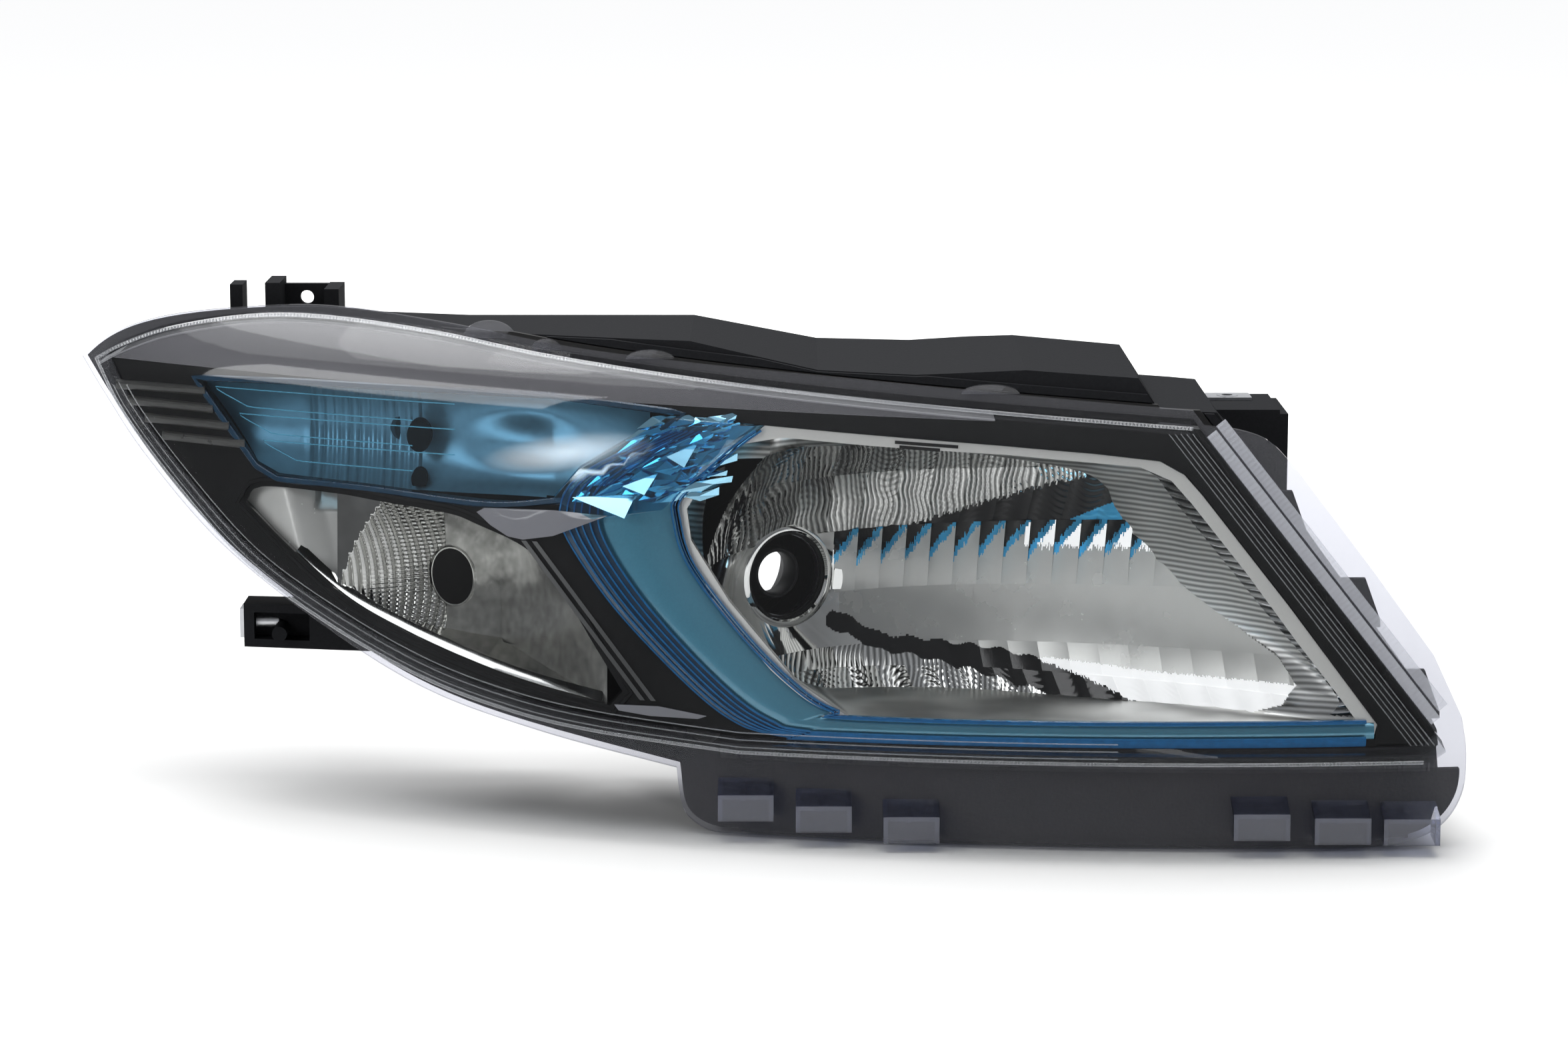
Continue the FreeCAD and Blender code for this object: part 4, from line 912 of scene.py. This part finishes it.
def in_bowl(at):
    """Which points lie inside the rim, outside the seat ring, and behind the frame."""
    rim = grow(turned_up(np.array(RIM_KEYS, float)), 2.5)
    across = COS * at[:, 0] + SIN * at[:, 1]
    behind = at[:, 1] > face(at[:, 0], at[:, 2], 22)
    return within(rim)(at) & (np.hypot(across, at[:, 2]) > SEAT_R) & behind


def facet_bump(row, column, a, b, turn, nod):
    """How far a facet stands proud of the paraboloid, over its fractions a and b."""
    curve = (2 * a - 1) ** 2
    rise = (2 * b - 1) ** 2
    if row == 3:
        return 0.35 * (1 - curve) + 0.9 * a * b + 0.1 * nod * b
    if row == 2:
        return 0.05 * (1 - curve) + 0.30 * (1 - rise) + 0.10 * turn * a + 0.12 * nod * b
    if row == 1:
        return 0.25 * (1 - curve) + 0.3 * turn * a + 0.2 * nod * b
    wave = np.sin(2 * math.pi * (b * 9 + 1.3 * np.sin(3.1 * a + column)) + 2.2 * a)
    return 0.8 * (1 - curve) + 0.5 * (1 - rise) + 0.06 * wave * (0.5 + 0.5 * a) + 0.2 * turn * a


def build_bowl():
    """The faceted bowl, as one group of facet cells for each finish; the dark, blue, bright and grey cells are
    painted reflections.
    """
    painted_finishes = ("painted_shade_reflection", "painted_blue_reflection", "painted_highlight", "grey_mirror_and_painted_reflection")
    groups = {key: Solid() for key in ("chrome", "fluted", *painted_finishes)}
    rng = np.random.default_rng(5)
    for row, (width, shift, lean) in enumerate(FACETS):
        (z0, s0), (z1, s1) = FACET_ROWS[row], FACET_ROWS[row + 1]
        start = -46 + shift - width
        fine = row in (0, 4, 5)
        a, b = np.meshgrid(np.linspace(0, 1, 28), np.linspace(0, 1, 40 if fine else 32))
        for column in range(int((250 - start) / width) + 1):
            x0 = start + column * width
            if x0 + width < -52 or x0 > 240:
                continue
            x = x0 + width * a + lean * (b - 0.5) * (z1 - z0)
            z = (z0 + s0 * x) * (1 - b) + (z1 + s1 * x) * b
            bump = facet_bump(row, column, a, b, *rng.uniform(-1, 1, 2))
            grid = np.stack([x, bowl_y(x, z) - bump, z], -1)
            keep = cell_mask(grid, in_bowl)
            if not keep.any():
                continue
            kinds = facet_kinds(grid, a, b, row, rng)
            plain = "chrome" if row in (2, 3) else "fluted"
            # Cells of the painted kinds take the painted reflection finishes.
            for kind, key in enumerate((plain, *painted_finishes)):
                chosen = keep & (kinds == kind)
                if chosen.any():
                    groups[key].add(*sheet_data(grid, 2.0, keep=chosen))
    return groups


def loop_pairs(step):
    """Matching points round the reflector's rim and round the frame's hole."""
    n = len(RIM_KEYS)
    pair = []
    for keys in (RIM_KEYS, HOLE_KEYS):
        keys, loop = np.array(keys, float), []
        for i in range(n):
            run = [keys[(i + k) % n] for k in (-1, 0, 1, 2)]
            span = np.subtract(HOLE_KEYS[(i + 1) % n], HOLE_KEYS[i])
            count = max(2, int(np.linalg.norm(span) / step))
            t = np.arange(count)[:, None] / count
            loop.append(0.5 * (run[1] * (1 - t) + run[2] * t) + 0.5 * spline(*run, t))
        pair.append(np.vstack(loop))
    return pair


def build_reflector():
    groups = build_bowl()
    rims, holes = loop_pairs(0.55)
    holes = grow(holes, -2.2)
    hole_y = face(holes[:, 0], holes[:, 1], WALL_BACK)
    rim_y = np.maximum(bowl_y(rims[:, 0], rims[:, 1]), hole_y - 5)
    steps = 15
    grid = []
    for t in np.linspace(0, 1, steps):
        x, z = (holes * (1 - t) + rims * t).T
        y = hole_y * (1 - t) + rim_y * t
        right = np.clip((x - 150) / 20, 0, 1) * np.clip((z + 46) / 6, 0, 1)
        upper = np.clip((z - 52) / 6, 0, 1) * (x < 165)
        wave = 0.11 * np.sin(z * 2 * math.pi / 2.6 + 1.2 * np.sin(y / 9)) * right
        wave = wave + 0.12 * np.sin(x * 2 * math.pi / 3.4 + y / 6) * upper
        out = wave * max(0.0, math.sin(math.pi * t)) ** 0.5
        belly = 2.2 * math.sin(math.pi * t) * right
        grid.append(np.stack([x + out + belly, y, z + 0.4 * out], 1))
    grid = np.array(grid)[::-1]
    at_edge = cell_mask(grid, lambda at: (at[:, 0] > 150) & (at[:, 2] > -47))
    at_edge = np.concatenate([at_edge, at_edge[:, :1]], 1) & (np.arange(steps - 1)[:, None] >= steps - 5)
    edge = Solid(sheet_data(grid, 1.2, closed=True, keep=at_edge))
    edge.make("main_wall_edge", "wavy", "mirror_coat", body=UNIT, angle=22)
    wall = Solid(sheet_data(grid, 1.2, closed=True, keep=~at_edge))
    wall.make("main_wall", "ribbed", "mirror_coat", body=UNIT, angle=22)
    for key, solid in groups.items():
        replaces = ("main_reflector",) if key == "chrome" else ()
        solid.make("main_bowl_" + key, key, "mirror_coat", body=UNIT, replaces=replaces, angle=22)


def build_seat():
    """The bright ring with its tab around the bulb hole, and the dark neck inside it."""
    section = [(20.6, -1.5), (20.6, -4.5), (21.5, -5.5), (23.6, -5.5), (25.2, -4.6), (25.6, -1.5)]
    ring = Solid(lathe_data(section, 96))
    angle = math.radians(-8)
    for width, r0, r1 in ((10, 24.5, 33), (5, 32, 36)):
        half = width / 2
        pts = []
        for q in (-5.2, -2.5):
            for r, s in ((r0, -half), (r1, 1 - half), (r1, half - 1), (r0, half)):
                p = r * math.cos(angle) - s * math.sin(angle)
                z = r * math.sin(angle) + s * math.cos(angle)
                pts.append(optic(p, q - 4.0 * (r - 20) / 16, z))
        ring.add(*box_data(pts[:4], pts[4:]))
    ring.make("seat_ring_trim", "chrome", "mirror_coat", body=UNIT)
    neck = Solid(lathe_data([(20.4, -3.5), (20.5, 1.0), (19.2, 1.0), (19.2, -3.2)], 96))
    neck.make("seat_neck", "seal", "seal_black", body=UNIT)


def build_boot():
    """The rubber boot: a grip round the bulb's base, a folded cone, and a bead on the collar."""
    profile = [
        (10.0, 15.0), (10.0, 5.2), (10.5, 4.6), (11.5, 4.6), (12, 5.2), (12.0, 14.5), (15, 19.5), (17.6, 22.4),
        (18.6, 25.8), (21.6, 29.2), (22.8, 33.0), (25.6, 36.2), (27.0, 40.0), (30, 43.8), (33.5, 44.4),
        (37.1, 44.5), (37.1, 34.6), (38.3, 34.5), (39.3, 35.2), (39.6, 37), (39.2, 38.4), (39.3, 41),
        (39.8, 43), (39.4, 46), (38.2, 46.9), (33, 47.0), (29.6, 46.6), (27.2, 45.0), (24.4, 40.8),
        (23.0, 38.6), (20.2, 34.2), (19.0, 31.6), (16.6, 27.8), (15.4, 25.0), (12.8, 20.0),
    ]
    boot = Solid(lathe_data(profile, 120))
    boot.make("boot_skin", "rubber", "boot_rubber", body="boot", replaces=("rubber_boot",), angle=50)


def build_frame():
    """The satin frame round the main lamp's opening, with two dashes on its top."""
    outer = grow(outline(MAIN_OPENING, 3.0), -0.5)
    hole = outline(HOLE_KEYS, 3.0)
    body = Solid(
        slab_data([outer, hole], flat(BEZEL_BACK + 1.5), flat(BEZEL_BACK + 4), 4.0),
        wall_data(hole, flat(BEZEL_BACK + 1.6), flat(BEZEL_BACK + 8), -1.0),
    )
    body.make("beam_ring", "satin", "satin_silver", replaces=("beam_frame",), angle=40)
    slots = Solid()
    dash = [(-0.7, -0.2), (-0.7, 0.25), (0.7, 0.25), (0.7, -0.2)]
    for line in ([(50, 75), (78, 73.6)], [(52, 73), (70, 72)]):
        slots.add(*swept_data(resample(line, 4), flat(BEZEL_BACK + 1.4), dash))
    slots.make("beam_slots", "seal", "satin_silver")


# ---------------------------------------------------------------- turn lamp
TURN_HOLE = (-155, -4)
TURN_WALL = -133  # where the bowl meets the lamp's inner wall
FLUTES_END = -158


def turn_bowl_y(x, z):
    across = (np.asarray(x, float) + 205) / 71
    return -4 + 16 * across + 24 * across**2 - (z + 2) ** 2 / 150


def turn_bowl():
    """The bowl: fluted on its left, hammered on its right, with a pit for the bulb."""
    x, z = np.meshgrid(np.linspace(-207, TURN_WALL, 230), np.linspace(-50, 41, 290))
    wave = np.abs(np.sin((x + 0.006 * (z + 4) ** 2) * math.pi / 4.0))
    cell = np.abs(np.sin(z * math.pi / 2.0))
    fade = np.clip((x + 200) / 30, 0, 1)
    hammered = 0.10 * np.sin(x / 2.3 + z / 4.3) * np.sin(z / 2.9) + 0.02 * np.sin(x * 2.2) * np.sin(z * 1.7)
    y = turn_bowl_y(x, z) - np.where(x < FLUTES_END, 1.25 * wave + 0.22 * fade * cell, hammered)
    u, v = x - TURN_HOLE[0], z - TURN_HOLE[1]
    pit = (u * 0.92 + v * 0.25) ** 2 / 9.5**2 + (v * 0.95 - u * 0.2) ** 2 / 14.5**2
    y = y + np.where(pit < 1, 6 * (1 - pit), 0)
    return np.stack([x, np.maximum(y, face(x, z, BEZEL_BACK + 5)), z], -1)


def turn_inner_wall():
    """The smooth wall from the bowl to the lamp's inner end."""
    a, b = np.meshgrid(np.linspace(0, 1, 60), np.linspace(0, 1, 80))
    x, z = TURN_WALL - 0.5 + 54.0 * a, -50 + 91 * b
    y = turn_bowl_y(TURN_WALL - 0.5, z) * (1 - a) + face(x, z, BEZEL_BACK + 4) * a
    y = y - 2.0 * np.sin(a * math.pi) - 0.10 * np.sin(a * 21 + z * 0.3)
    return np.stack([x, y, z], -1)


def turn_side():
    """The plain creased panel at the lamp's outer end."""
    x, z = np.meshgrid(np.linspace(-254, -205, 40), np.linspace(-12, 41, 44))
    crease = np.clip((x + 226) / 16 + (z - 10) / 60, 0, 1)
    y = face(x, z, BEZEL_BACK + 6) + 5 * crease + 0.30 * np.maximum(0, x + 222 + 0.3 * (z - 10))
    y = y + 0.6 * np.clip(z - 27.5, 0, 9) * np.clip((x + 219) / 2, 0, 1)
    return np.stack([x, y, z], -1)


def turn_oval(r):
    """A loop round the bulb's hole, r tall from its middle."""
    angles = np.linspace(0, 2 * math.pi, 65)[:-1]
    u, v = 0.64 * r * np.cos(angles), r * np.sin(angles)
    return np.stack([TURN_HOLE[0] + u * 0.96 - v * 0.22, TURN_HOLE[1] + v * 0.96 + u * 0.22], 1)


def deep(back):
    return lambda x, z: turn_bowl_y(x, z) + back


def build_turn():
    loop = outline(TURN, 2.0)
    fits = within(grow(loop, 1.2))
    bowl, wall, side = turn_bowl(), turn_inner_wall(), turn_side()

    def fluted(at):
        return at[:, 0] < FLUTES_END

    right = Solid(
        sheet_data(bowl, 1.5, keep=cell_mask(bowl, lambda at: fits(at) & ~fluted(at))),
        sheet_data(wall, 1.5, keep=cell_mask(wall, fits)),
    )
    right.make("turn_right", "mottled", "mirror_coat", angle=25)

    def skirt(x, z):
        back = np.where(x < TURN_WALL, turn_bowl_y(x, z) + 1, 20.0)
        return np.maximum(back, face(x, z, BEZEL_BACK + 7))

    body = Solid(
        sheet_data(bowl, 1.5, keep=cell_mask(bowl, lambda at: fits(at) & fluted(at))),
        wall_data(grow(loop, 0.6), flat(BEZEL_BACK + 3), skirt, 0.8),
    )
    body.make("turn_bowl", "turn_chrome", "mirror_coat", replaces=("turn_reflector",), angle=25)
    low = part_of(grow(loop, -0.6), lambda x, z: z < 14 - 0.35 * (x + 236) and x < -80)
    ledge = [(0, 0), (-3.6, -4.5), (-3.6, -5.6), (0, -1.4)]
    sill = Solid(swept_data(low, flat(BEZEL_BACK + 3), ledge))
    sill.make("turn_sill", "chrome", "mirror_coat", angle=30)
    panel = Solid(sheet_data(side, 1.2, keep=cell_mask(side, fits)))
    panel.make("turn_side", "grey_mirror_and_painted_reflection", "mirror_coat", replaces=("turn_side_trim",), angle=30)
    inner, outer = turn_oval(13.8), turn_oval(14.6)
    rings = [placed(*ring) for ring in (
        (inner, deep(-1.5)), (outer, deep(-1.5)), (outer, deep(3.0)), (inner, deep(3.0))
    )]
    lip = Solid((np.vstack(rings), ring_faces(4, len(inner))))
    lip.make("turn_hole_lip", "chrome", "mirror_coat")
    dark = Solid(slab_data([turn_oval(13.9)], deep(-1.6), deep(6.0), 4.0))
    dark.make("turn_hole", "seal", "seal_black")


# ---------------------------------------------------------------- stage
def show(name, data, place=(0, 0, 0)):
    """A new object in the scene."""
    thing = bpy.data.objects.new(name, data)
    thing.location = place
    bpy.context.scene.collection.objects.link(thing)
    return thing


def area(name, place, target, size, power, roll=0.0):
    """A soft rectangular light, in metres and watts, that faces a target."""
    lamp = bpy.data.lights.new(name, "AREA")
    lamp.shape = "RECTANGLE"
    lamp.size, lamp.size_y = size
    lamp.energy = power
    aim = (Vector(target) - Vector(place)).to_track_quat("-Z", "Y")
    show(name, lamp, place).rotation_euler = (aim @ Quaternion((0, 0, 1), math.radians(roll))).to_euler()
    return lamp


def build_floor():
    """A pale floor with painted light: it glows a little more away from the lamp, so it is darker near it."""
    half, z = 12.0, FLOOR_Z * 0.001
    mesh = bpy.data.meshes.new("floor")
    corners = [(-half, -half, z), (half, -half, z), (half, half, z), (-half, half, z)]
    mesh.from_pydata(corners, [], [(0, 1, 2, 3)])
    pale = solid_mat("floor_painted_glow", (0.68, 0.68, 0.675), 0.75, scale=20, bump=0.0, vary=0.01)
    tree = pale.node_tree
    place = add_node(tree, "TexCoord")
    far = add_node(tree, "VectorMath")
    far.operation = "LENGTH"
    # Painted light: the floor's glow rises with distance from the lamp.
    rise = add_node(tree, "MapRange", From_Min=0.42, From_Max=1.5, To_Max=0.75)
    join(
        tree,
        (place.outputs["Object"], far.inputs[0]),
        (far.outputs["Value"], rise.inputs["Value"]),
        (rise.outputs["Result"], glowing(pale, 0.0).inputs["Emission Strength"]),
    )
    mesh.materials.append(pale)
    floor = show("floor", mesh)


def build_world():
    """Even studio light with soft bands of shade, up the sky and across it."""
    world = bpy.data.worlds.new("studio")
    world.use_nodes = True
    tree = world.node_tree
    background = tree.nodes["Background"]
    background.inputs["Strength"].default_value = 0.36
    place, split = add_node(tree, "TexCoord"), add_node(tree, "SeparateXYZ")
    join(tree, (place.outputs["Generated"], split.inputs[0]))
    product = add_node(tree, "Mix")
    product.data_type, product.blend_type = "RGBA", "MULTIPLY"
    product.inputs["Factor"].default_value = 1.0
    bands = {
        "Z": ((0.0, 0.8), (0.46, 0.75), (0.52, 0.55), (0.60, 0.9), (0.75, 1.0), (1.0, 1.2)),
        "X": (
            (0.0, 1.0), (0.05, 0.55), (0.11, 1.0), (0.20, 0.5), (0.27, 1.05), (0.5, 0.9), (0.8, 0.6),
            (1.0, 1.0),
        ),
    }
    for axis, side in (("Z", "A"), ("X", "B")):
        span = add_node(tree, "MapRange", From_Min=-1)
        ramp = add_node(tree, "ValToRGB")
        ramp.color_ramp.interpolation = "EASE"
        stops = ramp.color_ramp.elements
        for k, (at, light) in enumerate(bands[axis]):
            stop = stops[k] if k < 2 else stops.new(at)
            stop.position = at
            stop.color = (light * 0.97, light * 0.98, light, 1)
        join(
            tree,
            (split.outputs[axis], span.inputs["Value"]),
            (span.outputs["Result"], ramp.inputs[0]),
            (ramp.outputs["Color"], product.inputs[side]),
        )
    join(tree, (product.outputs["Result"], background.inputs["Color"]))
    bpy.context.scene.world = world


def build_lights():
    for k, (wide, tall) in enumerate(((1.2, 0.7), (1.7, 1.1), (2.3, 1.5))):
        place = (-0.05, -0.1 + 0.001 * k, 1.25 + 0.01 * k)
        area(f"top_soft_{k}", place, (0, 0, 0), (wide, tall), 3.6 * wide * tall)
    area("back_soft", (-0.2, 1.5, 1.4), (0, 0.15, 0.0), (1.8, 0.9), 22)
    area("left_soft", (-1.75, -1.15, 0.85), (0, 0, 0), (1.0, 0.9), 12)
    area("floor_wash", (0.0, 0.4, 2.4), (0, 0.5, 0), (3.5, 2.0), 45)
    streak = area("streak_soft", (-1.43, -1.57, 0.274), (-0.12, -0.07, 0.06), (0.50, 0.035), 0.5, 7.5)
    streak.use_nodes = True
    tree = streak.node_tree
    spot = add_node(tree, "NewGeometry")
    centre = add_node(tree, "Mapping", Location=(-1, -1, 0), Scale=(2, 2, 2))
    fall = add_node(tree, "TexGradient")
    fall.gradient_type = "SPHERICAL"
    join(
        tree,
        (spot.outputs["Parametric"], centre.inputs[0]),
        (centre.outputs[0], fall.inputs[0]),
        (fall.outputs["Fac"], tree.nodes["Emission"].inputs["Strength"]),
    )


def build_camera():
    tilt = math.radians(10)
    target = np.array([0.0007, 0.0, 0.0246])
    ahead = np.array([0, math.cos(tilt), -math.sin(tilt)])
    camera = bpy.data.cameras.new("camera")
    camera.lens, camera.sensor_width = 100.0, 36.0
    camera.clip_start, camera.clip_end = 0.1, 50.0
    holder = show("camera", camera, target - 2.025 * ahead)
    holder.rotation_euler = Vector(ahead).to_track_quat("-Z", "Y").to_euler()
    bpy.context.scene.camera = holder


finish_cad()
build_lens()
build_lens_lines()
build_bezel()
build_arm()
build_knuckle()
build_position()
build_reflector()
build_seat()
build_boot()
build_frame()
build_turn()
build_floor()
build_world()
build_lights()
build_camera()
bpy.context.scene.view_settings.view_transform = "Standard"
